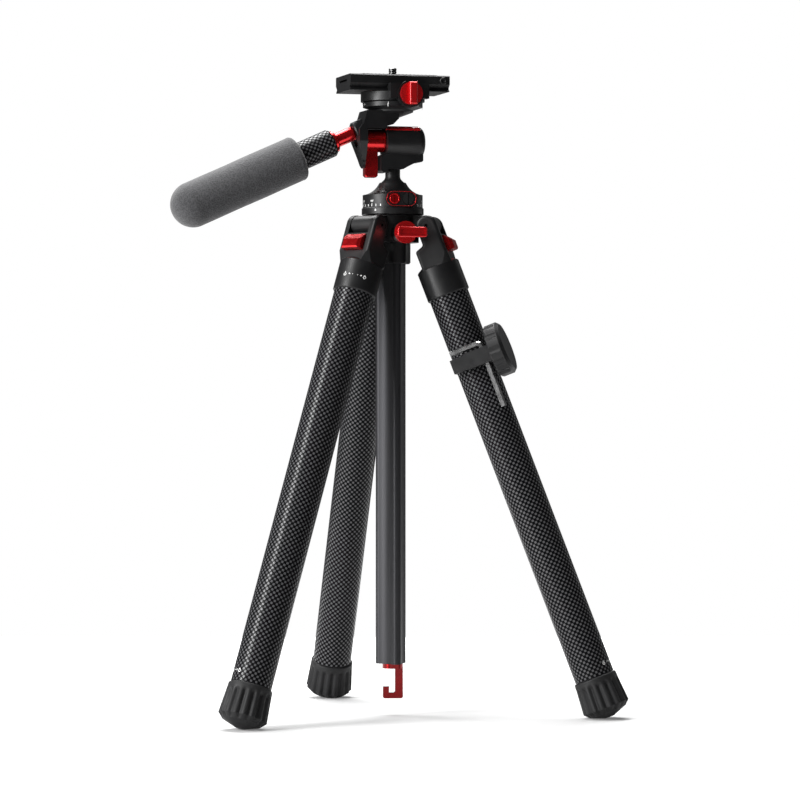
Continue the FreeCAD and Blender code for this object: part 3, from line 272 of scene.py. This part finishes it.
def black_metal():
    shader = Shader("black_metal", (0.005, 0.005, 0.0055), 0.42, Specular_IOR_Level=0.32)
    grain = shader.noise(2400, 3)
    shader.rough(shader.noise(90, 5), 0.34, 0.5)
    shader.tint(shader.noise(60, 4), (0.004, 0.004, 0.0044, 1), (0.007, 0.007, 0.0075, 1))
    shader.bump(grain, 0.22, 0.08 * MM)
    return shader.material


def satin_grey_metal():
    shader = Shader("satin_grey_metal", (0.03, 0.03, 0.032), 0.42, Metallic=0.7,
                    Specular_IOR_Level=0.3)
    drawn = shader.noise(1, 4, (3000, 3000, 12))
    shader.rough(drawn, 0.36, 0.5)
    shader.tint(drawn, (0.026, 0.026, 0.028, 1), (0.038, 0.038, 0.041, 1))
    shader.bump(drawn, 0.06, 0.03 * MM)
    return shader.material


def red_anodised(name="red_anodised", strength=1.0, metallic=0.85):
    shader = Shader(name, (0.5, 0.008, 0.011), 0.22, Metallic=metallic, Coat_Weight=0.3,
                    Coat_Roughness=0.08)
    shader.rough(shader.noise(160, 4), 0.18, 0.27)
    dark, light = [tuple(strength * c for c in color) + (1,)
                   for color in ((0.52, 0.007, 0.009), (0.6, 0.009, 0.012))]
    shader.tint(shader.noise(45, 3), dark, light)
    shader.bump(shader.noise(1, 3, (900, 900, 3000)), 0.02, 0.01 * MM)
    return shader.material


def bright_steel(name="bright_steel", strength=1.0):
    shader = Shader(name, (0.6, 0.6, 0.6), 0.24, Metallic=1.0)
    dark, light = [(level, level, level, 1) for level in (strength * 0.5, strength * 0.62)]
    shader.rough(shader.noise(90, 3), 0.2, 0.34)
    shader.tint(shader.noise(60, 3), dark, light)
    shader.bump(shader.noise(1, 3, (500, 500, 60)), 0.01, 0.01 * MM)
    return shader.material


def black_rubber():
    shader = Shader("black_rubber", (0.007, 0.007, 0.0075), 0.6, Specular_IOR_Level=0.3)
    shader.rough(shader.noise(120, 5), 0.5, 0.72)
    shader.tint(shader.noise(70, 5), (0.005, 0.005, 0.0055, 1), (0.011, 0.011, 0.0115, 1))
    shader.bump(shader.noise(1900, 4), 0.28, 0.12 * MM)
    return shader.material


def grey_foam():
    shader = Shader("grey_foam", (0.06, 0.06, 0.063), 0.95, Specular_IOR_Level=0.12,
                    Sheen_Weight=0.25, Sheen_Roughness=0.6)
    # Pore pits: the tint darkens them where the bump sinks them, a painted shade in the pores
    pores = shader.cells(900)
    shader.tint(pores, (0.01, 0.01, 0.0108, 1), (0.05, 0.05, 0.053, 1), 0.05, 0.7)
    shader.rough(pores, 0.88, 1.0)
    shader.bump(pores, 0.7, 0.35 * MM)
    shader.bump(shader.noise(420, 4), 0.4, 0.4 * MM)
    return shader.material


def black_plastic():
    shader = Shader("black_plastic", (0.007, 0.007, 0.0075), 0.45, Specular_IOR_Level=0.32)
    shader.rough(shader.noise(140, 4), 0.38, 0.54)
    shader.tint(shader.noise(80, 4), (0.005, 0.005, 0.0055, 1), (0.01, 0.01, 0.0105, 1))
    shader.bump(shader.cells(1700), 0.16, 0.1 * MM)
    return shader.material


def white_paint():
    shader = Shader("white_paint", (0.75, 0.75, 0.74), 0.5)
    shader.tint(shader.noise(700, 3), (0.62, 0.62, 0.61, 1), (0.82, 0.82, 0.81, 1))
    shader.rough(shader.noise(500, 3), 0.42, 0.6)
    return shader.material


MATERIALS = {make.__name__: make() for make in (
    black_metal, satin_grey_metal, red_anodised, bright_steel, black_rubber, grey_foam,
    black_plastic, white_paint)}
# Darker copy of the red anodised for the weight hook: painted shade
MATERIALS["red_anodised_painted_shade"] = red_anodised("red_anodised_painted_shade", 0.36, 1.0)
# Brighter, less metallic copy of the red anodised for the accent strip: painted highlight
MATERIALS["red_strip_painted_highlight"] = red_anodised("red_strip_painted_highlight", 1.15, 0.1)
# Brighter, less metallic copy of the red anodised for the clamp and column knobs: painted
# highlight
MATERIALS["red_knob_painted_highlight"] = red_anodised("red_knob_painted_highlight", 1.05, 0.6)
MATERIALS["dark_steel"] = bright_steel("dark_steel", 0.35)

# Nodes given a lighter or darker copy of their slot's material: painted shade on the hook, painted
# highlight on the accent strip and the knobs
PAINTED_LIGHT_COPIES = {"weight_hook": "red_anodised_painted_shade", "accent_strip": "red_strip_painted_highlight",
              "clamp_knob": "red_knob_painted_highlight", "column_lock_knob": "red_knob_painted_highlight"}


# ---------------------------------------------------------------- mesh helpers

def new_piece(name, vertices, faces, material, body, smooth=None):
    """A mesh object in the frame, with its material, that moves with a body."""
    mesh = bpy.data.meshes.new(name)
    mesh.from_pydata([tuple(v) for v in vertices], [], faces)
    mesh.validate()
    piece = bpy.data.objects.new(name, mesh)
    bpy.context.scene.collection.objects.link(piece)
    piece.data.materials.append(material)
    tidy = bmesh.new()
    tidy.from_mesh(mesh)
    bmesh.ops.recalc_face_normals(tidy, faces=tidy.faces)
    tidy.to_mesh(mesh)
    tidy.free()
    if smooth:
        shade(piece, smooth)
    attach(piece, body)
    return piece


def shade(piece, degrees):
    """Smooth shading that breaks at edges sharper than an angle."""
    piece.data.shade_smooth()
    piece.data.set_sharp_from_angle(angle=math.radians(degrees))


def lathe(profile, matrix, steps):
    """Vertices and faces of an outline of (radius, height) turned about the matrix's Z axis."""
    vertices, faces, rows = [], [], []
    for radius, height in profile:
        if radius < 1e-9:
            rows.append([len(vertices)])
            vertices.append(matrix @ Vector((0, 0, height)))
            continue
        rows.append(range(len(vertices), len(vertices) + steps))
        for i in range(steps):
            turn = 2 * math.pi * i / steps
            place = (radius * math.cos(turn), radius * math.sin(turn), height)
            vertices.append(matrix @ Vector(place))
    for lower, upper in zip(rows, rows[1:]):
        for i in range(steps):
            j = (i + 1) % steps
            corners = ((lower, i), (lower, j), (upper, j), (upper, i))
            ring = [row[k % len(row)] for row, k in corners]
            faces.append(list(dict.fromkeys(ring)))
    return vertices, faces


def arc(centre, radius, start, end, count):
    """Points on an arc, from start to end degrees."""
    turns = [math.radians(start + (end - start) * i / count) for i in range(count + 1)]
    return [(centre[0] + radius * math.cos(t), centre[1] + radius * math.sin(t)) for t in turns]


class Marks:
    """Flat painted marks, drawn on a strip that is then wrapped round a cylinder."""

    def __init__(self):
        self.mesh = bmesh.new()

    def polygon(self, outline):
        corners = [self.mesh.verts.new((x, y, 0)) for x, y in outline]
        face = self.mesh.faces.new(corners)
        raised = bmesh.ops.extrude_face_region(self.mesh, geom=[face])["geom"]
        for item in raised:
            if isinstance(item, bmesh.types.BMVert):
                item.co.z = PAINT
        return self

    def bar(self, x, y, width, height):
        half, tall = width / 2, height / 2
        return self.polygon([(x - half, y - tall), (x + half, y - tall), (x + half, y + tall),
                             (x - half, y + tall)])

    def ring(self, x, y, outer, inner, start=0, end=360, count=24):
        outside = arc((x, y), outer, start, end, count)
        inside = arc((x, y), inner, start, end, count)
        for i in range(count):
            self.polygon([inside[i], outside[i], outside[i + 1], inside[i + 1]])
        return self

    def text(self, words, x, y, size):
        curve = bpy.data.curves.new("words", "FONT")
        curve.body = words
        curve.size = size
        curve.align_x = "CENTER"
        curve.align_y = "CENTER"
        curve.extrude = PAINT / 2
        curve.resolution_u = 3
        holder = bpy.data.objects.new("words", curve)
        bpy.context.scene.collection.objects.link(holder)
        evaluated = holder.evaluated_get(bpy.context.evaluated_depsgraph_get())
        mesh = bpy.data.meshes.new_from_object(evaluated)
        mesh.transform(Matrix.Translation((x, y, PAINT / 2)))
        self.mesh.from_mesh(mesh)
        bpy.data.objects.remove(holder)
        bpy.data.meshes.remove(mesh)
        bpy.data.curves.remove(curve)
        return self

    def wrap(self, name, matrix, radius, height, body, facing=0.0, material="white_paint"):
        """Lay the strip round a cylinder: x runs round from the facing angle, y along the axis."""
        bmesh.ops.remove_doubles(self.mesh, verts=self.mesh.verts, dist=1e-7)
        for vertex in self.mesh.verts:
            turn = facing + vertex.co.x / radius
            reach = radius + vertex.co.z - PAINT / 3
            place = (reach * math.cos(turn), reach * math.sin(turn), height + vertex.co.y)
            vertex.co = matrix @ Vector(place)
        bmesh.ops.recalc_face_normals(self.mesh, faces=self.mesh.faces)
        mesh = bpy.data.meshes.new(name)
        self.mesh.to_mesh(mesh)
        self.mesh.free()
        piece = bpy.data.objects.new(name, mesh)
        bpy.context.scene.collection.objects.link(piece)
        mesh.materials.clear()
        mesh.materials.append(MATERIALS[material])
        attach(piece, body)
        return piece


# ---------------------------------------------------------------- CAD nodes

# The widest bevel that suits each finish, and the nodes with edges too fine for one
BEVEL = {"black_metal": 0.35 * MM, "red_anodised": 0.35 * MM, "black_plastic": 0.3 * MM,
         "black_rubber": 0.4 * MM}
BEVEL_OFF = {"accent_strip", "lock_bezel", "crown_liner", "plate_pads", "ball_cup", "ball_stem",
             "column_end_plug"}


def finish_nodes():
    """Give every CAD node the material of its slot, smooth shading and softened edges."""
    slots = {part["node"]: part["material_slot"] for part in frame["record"]["subparts"]}
    tubes = {side: turned(f"outer_tube_{side}", (0, 0, 1)) for side in SIDES}
    weave = {side: carbon(f"carbon_{side}", tubes[side][0], tubes[side][3]) for side in SIDES}
    handle = turned("handle_tube", (-1, 0, 0))
    weave["handle"] = carbon("carbon_handle", handle[0], handle[3])
    for name, piece in frame["nodes"].items():
        slot = slots[name]
        if slot == "carbon_fibre":
            key = next((side for side in SIDES if name.endswith(side)), "handle")
            material = weave[key]
        else:
            material = MATERIALS[PAINTED_LIGHT_COPIES.get(name, slot)]
        if not piece.material_slots:
            piece.data.materials.append(material)
        for place in piece.material_slots:
            place.material = material
        shade(piece, 32)
        if slot in BEVEL and name not in BEVEL_OFF:
            bevel = piece.modifiers.new("soft_edges", "BEVEL")
            bevel.width = BEVEL[slot]
            bevel.segments = 2
            bevel.limit_method = "ANGLE"
            bevel.angle_limit = math.radians(50)
            bevel.harden_normals = True


# ---------------------------------------------------------------- pan handle

def make_grip():
    """Moulded foam grip: a round nose, a soft barrel, and a rolled lip where the tube enters."""
    matrix, _, _, tube_radius = turned("handle_tube", (-1, 0, 0))
    cloud = (points("foam_grip") - np.array(matrix.translation)) @ np.array(matrix.to_3x3())
    start, end = float(cloud[:, 2].min()), float(cloud[:, 2].max())
    radius = float(np.hypot(cloud[:, 0], cloud[:, 1]).max())
    lip = 3.6 * MM
    bore = tube_radius + 0.05 * MM
    depth = 5 * MM
    rows = 90
    profile = [(bore, start + depth), (bore, start + lip * 0.5)]
    flat_start, flat_end = bore + lip * 0.35, radius - lip
    profile += [(flat_start + (flat_end - flat_start) * t, start + 0.05 * MM) for t in (0, 0.5, 1)]
    profile += [(radius - lip + x, start + lip + y) for x, y in arc((0, 0), lip, -80, 0, 8)]
    nose = end - radius
    for i in range(1, rows):
        t = i / rows
        swell = -0.25 * MM * math.sin(math.pi * t) ** 2 * math.cos(3 * math.pi * t)
        profile.append((radius - 0.15 * MM + swell * 0.5, start + lip + (nose - start - lip) * t))
    profile += [(x, nose + y) for x, y in arc((0, 0), radius - 0.1 * MM, 0, 90, 28)]
    profile[-1] = (0, end - 0.1 * MM)
    vertices, faces = lathe(profile, matrix, 128)
    piece = new_piece("grip_foam", vertices, faces, MATERIALS["grey_foam"], "tilt", 60)
    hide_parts("foam_grip")


# ---------------------------------------------------------------- feet

def make_feet():
    """Moulded rubber feet: flutes between round ribs, a plain rim and a conical tread."""
    steps = 14 * FOOT_RIBS
    leg_tilt = -joint("leg_right_spread")["range_deg"][0]
    for side in SIDES:
        tube, start, _, _ = turned(f"outer_tube_{side}", (0, 0, 1))
        cloud = (points(f"foot_{side}") - np.array(tube.translation)) @ np.array(tube.to_3x3())
        low = float(cloud[:, 2].min())
        reach = np.hypot(cloud[:, 0], cloud[:, 1])
        wide = float(reach.max()) - 0.1 * MM
        top = start - 0.3 * MM
        rim = float(reach[cloud[:, 2] > top - 2 * MM].max())
        bevel = float(cloud[reach > wide - 0.2 * MM][:, 2].min())
        pad, tip = FOOT_PAD_RADIUS, FOOT_TIP_RADIUS
        cone = low + (pad - tip) * math.tan(math.radians(leg_tilt))
        lip, corner = rim - 3 * MM, 1.2 * MM
        profile = [(0, top + 2 * MM), (lip, top + 2 * MM), (lip, top), (rim - corner, top)]
        profile += arc((rim - corner, top - corner), corner, 80, 0, 5)
        rows = 26
        wall_top = top - 1.6 * MM
        for i in range(rows + 1):
            t = i / rows
            profile.append((rim + (wide - rim) * t, wall_top + (bevel - wall_top) * t))
        profile += [(wide - (wide - pad) * t, bevel + (cone - bevel) * t)
                    for t in (0.25, 0.5, 0.75, 1)]
        profile += [(pad - (pad - tip) * t, cone + (low - cone) * t) for t in (0.3, 0.65, 1)]
        profile.append((0, low))
        vertices, faces, rows_of = [], [], []
        for r, z in profile:
            rows_of.append(len(vertices))
            fade_above = min(1, max(0, (wall_top - 2.2 * MM - z) / (2.4 * MM)))
            fade_below = min(1, max(0, (z - cone) / (2.0 * MM)))
            for k in range(steps):
                turn = 2 * math.pi * k / steps
                wave = 0.5 - 0.5 * math.cos(FOOT_RIBS * turn)
                reach_here = r - FLUTE_DEPTH * (fade_above * fade_below) * wave ** 1.6
                place = (reach_here * math.cos(turn), reach_here * math.sin(turn), z)
                vertices.append(tube @ Vector(place))
        for a, b in zip(rows_of, rows_of[1:]):
            faces += [(a + k, a + (k + 1) % steps, b + (k + 1) % steps, b + k)
                      for k in range(steps)]
        piece = new_piece(f"foot_rubber_{side}", vertices, faces, MATERIALS["black_rubber"],
                          f"leg_{side}_foot", 40)
        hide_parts(f"foot_{side}")


# ---------------------------------------------------------------- camera screw

def make_screw():
    """The camera screw with its cut thread and flange."""
    low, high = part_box("camera_screw")
    centre = middle("camera_screw")
    matrix = Matrix.Translation((centre.x, centre.y, 0))
    flange = (high[0] - low[0]) / 2
    flange_top = low[2] + 1.8 * MM
    top = high[2]
    thread_start = top - THREAD_LENGTH
    steps, rows = 64, 96
    vertices, faces = [], []

    def ring(radius_at, z):
        first = len(vertices)
        for i in range(steps):
            turn = 2 * math.pi * i / steps
            radius = radius_at(turn)
            vertices.append(matrix @ Vector((radius * math.cos(turn), radius * math.sin(turn), z)))
        return first

    def cut(z):
        from_tip = max(0, (top - 0.4 * MM - z) / (0.9 * MM))
        from_neck = max(0, (z - thread_start) / (0.6 * MM))
        fade = min(1, from_tip, from_neck)

        def radius(turn):
            phase = (z / THREAD_PITCH - turn / (2 * math.pi)) % 1
            groove = 1 - abs(2 * phase - 1)
            chamfer = max(0, z - (top - 0.7 * MM))
            return THREAD_RADIUS - chamfer * 0.9 - THREAD_DEPTH * fade * min(1, groove * 1.25)
        return radius

    rings = [ring(lambda t: flange * 0.92, low[2]), ring(lambda t: flange, low[2] + 0.3 * MM),
             ring(lambda t: flange, flange_top - 0.3 * MM),
             ring(lambda t: flange * 0.95, flange_top),
             ring(lambda t: SCREW_NECK_RADIUS, flange_top),
             ring(lambda t: SCREW_NECK_RADIUS, thread_start)]
    levels = [thread_start + (top - thread_start) * i / rows for i in range(rows + 1)]
    rings += [ring(cut(z), z) for z in levels]
    for a, b in zip(rings, rings[1:]):
        faces += [(a + i, a + (i + 1) % steps, b + (i + 1) % steps, b + i) for i in range(steps)]
    faces.append(tuple(rings[-1] + i for i in range(steps)))
    faces.append(tuple(rings[0] + i for i in reversed(range(steps))))
    piece = new_piece("camera_screw_thread", vertices, faces, MATERIALS["dark_steel"],
                      "mount_screw", 35)
    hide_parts("camera_screw")


# ---------------------------------------------------------------- tilt unit

def make_plate_button():
    """Round stop button in the front of the plate, near its right end."""
    tilt = joint("tilt_turn")
    along = Vector(tilt["axis"]).normalized()
    back = Vector((0, 0, 1)).cross(along)
    cloud = points("quick_release_plate")
    centre = middle("quick_release_plate")
    local = [(along.dot(Vector(p) - centre), back.dot(Vector(p) - centre)) for p in cloud]
    right = max(x for x, y in local)
    front = min(y for x, y in local)
    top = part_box("quick_release_plate")[1][2]
    at = centre + along * (right - 5.2 * MM) + back * front
    at.z = top - 4.0 * MM
    basis = Matrix((along, Vector((0, 0, 1)), -back)).transposed().to_4x4()
    matrix = Matrix.Translation(at) @ basis
    profile = [(0, -1.5 * MM), (2.7 * MM, -1.5 * MM), (2.7 * MM, 0.5 * MM), (2.3 * MM, 0.9 * MM),
               (1.7 * MM, 0.9 * MM), (1.3 * MM, 0.3 * MM), (0, 0.3 * MM)]
    vertices, faces = lathe(profile, matrix, 40)
    new_piece("plate_stop_button", vertices, faces, MATERIALS["black_metal"], "plate",
              35)


def make_hub_guard():
    """Red half shell over the lever's hub, between the barrel and the arm's ear."""
    tilt = joint("tilt_turn")
    along = Vector(tilt["axis"]).normalized()
    ahead = along.cross(Vector((0, 0, 1)))
    basis = Matrix((ahead, Vector((0, 0, 1)), along)).transposed().to_4x4()
    on_axis = Matrix.Translation(tilt["pos_m"]) @ basis
    left, right, inner, outer = -22.3 * MM, -7.2 * MM, 7.75 * MM, 9.35 * MM
    rim = 0.5 * MM
    section = [(inner, left), (outer - rim, left), (outer, left + rim), (outer, right - rim),
               (outer - rim, right), (inner, right)]
    steps = 32
    vertices, faces = [], []
    for i in range(steps + 1):
        turn = math.radians(15 + 150 * i / steps)
        vertices += [on_axis @ Vector((r * math.cos(turn), r * math.sin(turn), z))
                     for r, z in section]
    count = len(section)
    for i in range(steps):
        a, b = i * count, (i + 1) * count
        faces += [(a + k, a + (k + 1) % count, b + (k + 1) % count, b + k) for k in range(count)]
    faces += [tuple(range(count)), tuple(range(steps * count, (steps + 1) * count))]
    new_piece("lever_hub_guard", vertices, faces, MATERIALS["red_anodised"], "ball",
              35)


# ---------------------------------------------------------------- painted scales and pictograms

def make_pan_scale():
    """Degree scale round the housing, left off behind the lock bezel."""
    matrix, bottom, _, radius = upright("ball_housing")
    bezel = middle("lock_bezel")
    front = math.atan2(bezel.y - matrix.translation.y, bezel.x - matrix.translation.x)
    clear = math.radians(36)
    marks = Marks()
    for step in range(0, 360, 10):
        turn = math.radians(step)
        off_front = (turn + math.pi) % (2 * math.pi) - math.pi
        if abs(off_front) < clear:
            continue
        tall = 2.4 * MM if step % 30 == 0 else 1.7 * MM
        x = off_front * radius
        marks.bar(x, 0.6 * MM + tall / 2, 0.6 * MM, tall)
        if step % 30 == 0:
            marks.text(str(step), x, 4.6 * MM, 2.2 * MM)
    marks.wrap("pan_scale_marks", matrix, radius, bottom, "pan_housing", front)
    base, _, high, base_radius = upright("head_base")
    index = Marks()
    index.polygon([(-0.9 * MM, -0.6 * MM), (0.9 * MM, -0.6 * MM), (0, 0.9 * MM)])
    index.wrap("pan_index_mark", base, base_radius, high - 2.2 * MM, "column",
               front - math.radians(50))


def make_disc_marks():
    """Index lines where the clamp turns on the platform."""
    count = 6
    clamp_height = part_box("clamp_body")[0][2] + 1.9 * MM
    platform_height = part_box("tilt_arm")[1][2] - 1.8 * MM
    for node, body, tall, height, radius in (
            ("clamp_body", "top_clamp", 2.2, clamp_height, CLAMP_DISC_RADIUS),
            ("tilt_arm", "tilt", 1.6, platform_height, PLATFORM_RADIUS)):
        marks = Marks()
        for i in range(count):
            marks.bar(2 * math.pi * i / count * radius, 0, 0.4 * MM, tall * MM)
        marks.wrap(f"{node}_index_marks", Matrix.Identity(4), radius, height, body,
                   math.radians(-98.3))


def padlock(marks, x, y, open_arm):
    """A padlock pictogram: body, arm, and the arm lifted clear where it stands for open."""
    marks.ring(x, y - 0.7 * MM, 1.15 * MM, 0.75 * MM, 0, 360, 20)
    lift = 0.5 * MM if open_arm else 0.25 * MM
    marks.ring(x, y + lift, 0.75 * MM, 0.45 * MM, 0, 180 if not open_arm else 150, 12)


def arrow(marks, x, y, length, head=1):
    """A turning arrow pictogram along the strip."""
    marks.bar(x, y, length, 0.35 * MM)
    tip = x + head * (length / 2 + 0.8 * MM)
    base = x + head * (length / 2 - 0.1 * MM)
    marks.polygon([(base, y - 0.75 * MM), (tip, y), (base, y + 0.75 * MM)][::head])


def make_leg_marks():
    """Lock and unlock pictograms on each leg's collar and above each foot."""
    for side in SIDES:
        matrix, start, end, radius = turned(f"outer_tube_{side}", (0, 0, 1))
        axis = matrix.to_3x3() @ Vector((0, 0, 1))
        outward = -Vector((axis.x, axis.y, 0)).normalized()
        facing = Matrix.Rotation(math.radians(MARKS_TURN), 3, "Z") @ outward
        local = matrix.to_3x3().transposed() @ facing
        turn = math.atan2(local.y, local.x)
        marks = Marks()
        padlock(marks, 4.6 * MM, 0, False)
        padlock(marks, -11.0 * MM, 0, True)
        arrow(marks, 0.2 * MM, 0, 2.8 * MM, 1)
        arrow(marks, -5.8 * MM, 0, 2.8 * MM, -1)
        marks.wrap(f"collar_marks_{side}", matrix, COLLAR_RADIUS, end + 2.0 * MM, f"leg_{side}",
                   turn)
        low_marks = Marks()
        padlock(low_marks, 4.4 * MM, 0, False)
        arrow(low_marks, 0, 0, 3.0 * MM, 1)
        padlock(low_marks, -5.2 * MM, 0, True)
        low_marks.wrap(f"foot_marks_{side}", matrix, radius, start + 8 * MM, f"leg_{side}",
                       turn - math.radians(FOOT_MARKS_TURN))


# ---------------------------------------------------------------- small hardware

def make_bezel_rim():
    """Red line round the lock bezel, and a red ring round its left knob."""
    low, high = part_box("lock_bezel")
    knobs = [middle(name) for name in ("ball_lock_knob", "pan_lock_knob")]
    across = (knobs[1] - knobs[0]).normalized()
    front = Vector((across.y, -across.x, 0)).normalized()
    up = Vector((0, 0, 1))
    tall = (high[2] - low[2]) / 2
    mid_knobs = (knobs[0] + knobs[1]) / 2
    face = max((Vector(p) - mid_knobs).dot(front) for p in points("lock_bezel"))
    length = max(abs((Vector(p) - mid_knobs).dot(across)) for p in points("lock_bezel"))
    at = Vector((mid_knobs.x, mid_knobs.y, (high[2] + low[2]) / 2)) + front * face
    inset, line = 0.5 * MM, 0.22 * MM
    straight = length - tall

    def oval(radius):
        right = [(straight + x, y) for x, y in arc((0, 0), radius, -90, 90, 16)]
        left = [(-straight + x, y) for x, y in arc((0, 0), radius, 90, 270, 16)]
        return right + left

    rim = [at + across * x + up * y for x, y in oval(tall - inset)]
    tube("lock_bezel_rim", rim, line, "pan_housing")
    knob_face = max((Vector(p) - knobs[0]).dot(front) for p in points("ball_lock_knob"))
    ring_at = knobs[0] + front * knob_face
    ring = [ring_at + across * x + up * y for x, y in arc((0, 0), 3.4 * MM, 0, 360, 40)[:-1]]
    tube("ball_lock_ring", ring, 0.3 * MM, "ball_lock")


def tube(name, path, radius, body, material="red_anodised"):
    """A closed round bead along a path of points."""
    curve = bpy.data.curves.new(name, "CURVE")
    curve.dimensions = "3D"
    spline = curve.splines.new("POLY")
    spline.points.add(len(path) - 1)
    for point, place in zip(spline.points, path):
        point.co = (*place, 1)
    spline.use_cyclic_u = True
    curve.bevel_depth = radius
    curve.bevel_resolution = 3
    holder = bpy.data.objects.new(name, curve)
    bpy.context.scene.collection.objects.link(holder)
    evaluated = holder.evaluated_get(bpy.context.evaluated_depsgraph_get())
    mesh = bpy.data.meshes.new_from_object(evaluated)
    bpy.data.objects.remove(holder)
    bpy.data.curves.remove(curve)
    piece = bpy.data.objects.new(name, mesh)
    bpy.context.scene.collection.objects.link(piece)
    mesh.materials.clear()
    mesh.materials.append(MATERIALS[material])
    mesh.shade_smooth()
    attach(piece, body)


def make_pad_ribs():
    """Raised ribs across the two rubber strips on the plate."""
    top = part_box("plate_pads")[1][2]
    tilt = Vector(joint("tilt_turn")["axis"]).normalized()
    yaw = Matrix.Rotation(math.atan2(tilt.y, tilt.x), 4, "Z")
    rib = Matrix.Diagonal((0.9 * MM, 6.4 * MM, 0.5 * MM, 1))
    count, pitch = 19, 3.0 * MM
    ribs = bmesh.new()
    for row in (-PAD_ROW, PAD_ROW):
        for i in range(count):
            x = (i - (count - 1) / 2) * pitch
            place = yaw @ Matrix.Translation((x, row, top)) @ rib
            bmesh.ops.create_cube(ribs, size=1, matrix=place)
    mesh = bpy.data.meshes.new("plate_pad_ribs")
    ribs.to_mesh(mesh)
    ribs.free()
    piece = bpy.data.objects.new("plate_pad_ribs", mesh)
    bpy.context.scene.collection.objects.link(piece)
    piece.data.materials.append(MATERIALS["black_rubber"])
    bevel = piece.modifiers.new("soft_edges", "BEVEL")
    bevel.width = 0.2 * MM
    bevel.segments = 2
    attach(piece, "plate")


# ---------------------------------------------------------------- stage

def make_stage():
    """A pale paper floor that glows more towards its edges, as an evenly lit studio sweep does."""
    floor_mesh = bpy.data.meshes.new("floor")
    half = 0.85
    corners = [(-half, -half, 0), (half, -half, 0), (half, half, 0), (-half, half, 0)]
    floor_mesh.from_pydata(corners, [], [(0, 1, 2, 3)])
    floor = bpy.data.objects.new("floor", floor_mesh)
    floor.location.z = cad_box[0][2] - 0.2 * MM
    bpy.context.scene.collection.objects.link(floor)
    pale = Shader("floor_paper", (0.5, 0.5, 0.5), 0.9, Specular_IOR_Level=0.1)
    pale.tint(pale.noise(8, 3), (0.49, 0.49, 0.49, 1), (0.51, 0.51, 0.51, 1))
    distance = pale.node("VectorMath", operation="LENGTH")
    pale.link(pale.place, distance.inputs[0])
    glow = pale.spread(distance.outputs["Value"], 0.15, 1.0, 0.2, 0.8)
    pale.bsdf.inputs["Emission Color"].default_value = (1, 1, 1, 1)
    pale.link(glow, pale.bsdf.inputs["Emission Strength"])
    floor.data.materials.append(pale.material)


def softbox(name, place, aim, width, height, power):
    data = bpy.data.lights.new(name, "AREA")
    data.shape = "RECTANGLE"
    data.size = width
    data.size_y = height
    data.energy = power
    lamp = bpy.data.objects.new(name, data)
    lamp.location = place
    lamp.rotation_euler = (Vector(aim) - Vector(place)).to_track_quat("-Z", "Y").to_euler()
    bpy.context.scene.collection.objects.link(lamp)


def make_lights():
    """Three softboxes in a dim room, in front of a white sweep that only the lens sees."""
    aim = (0, 0, 0.25)
    softbox("key", (-1.4, -0.9, 0.8), aim, 0.6, 1.7, 62)
    softbox("rim", (1.2, 1.0, 0.6), aim, 0.2, 1.2, 1)
    softbox("top", (-0.2, 0.55, 1.9), aim, 1.3, 1.5, 85)
    world = bpy.data.worlds.new("studio")
    world.use_nodes = True
    tree = world.node_tree
    background = tree.nodes["Background"]
    background.inputs["Color"].default_value = (1, 1, 1, 1)
    path = tree.nodes.new("ShaderNodeLightPath")
    level = tree.nodes.new("ShaderNodeMapRange")
    level.inputs["To Min"].default_value = 0.07
    level.inputs["To Max"].default_value = 1.0
    tree.links.new(path.outputs["Is Camera Ray"], level.inputs["Value"])
    tree.links.new(level.outputs["Result"], background.inputs["Strength"])
    bpy.context.scene.world = world


def make_camera():
    data = bpy.data.cameras.new("camera")
    data.lens = CAMERA_LENS
    data.sensor_width = 36
    camera = bpy.data.objects.new("camera", data)
    camera.location = CAMERA_AT
    camera.rotation_euler = (math.pi / 2, 0, 0)
    bpy.context.scene.collection.objects.link(camera)
    bpy.context.scene.camera = camera


finish_nodes()
make_grip()
make_feet()
make_screw()
make_hub_guard()
make_plate_button()
make_pan_scale()
make_disc_marks()
make_leg_marks()
make_pad_ribs()
make_bezel_rim()
make_stage()
make_lights()
make_camera()
bpy.context.scene.view_settings.view_transform = "Standard"
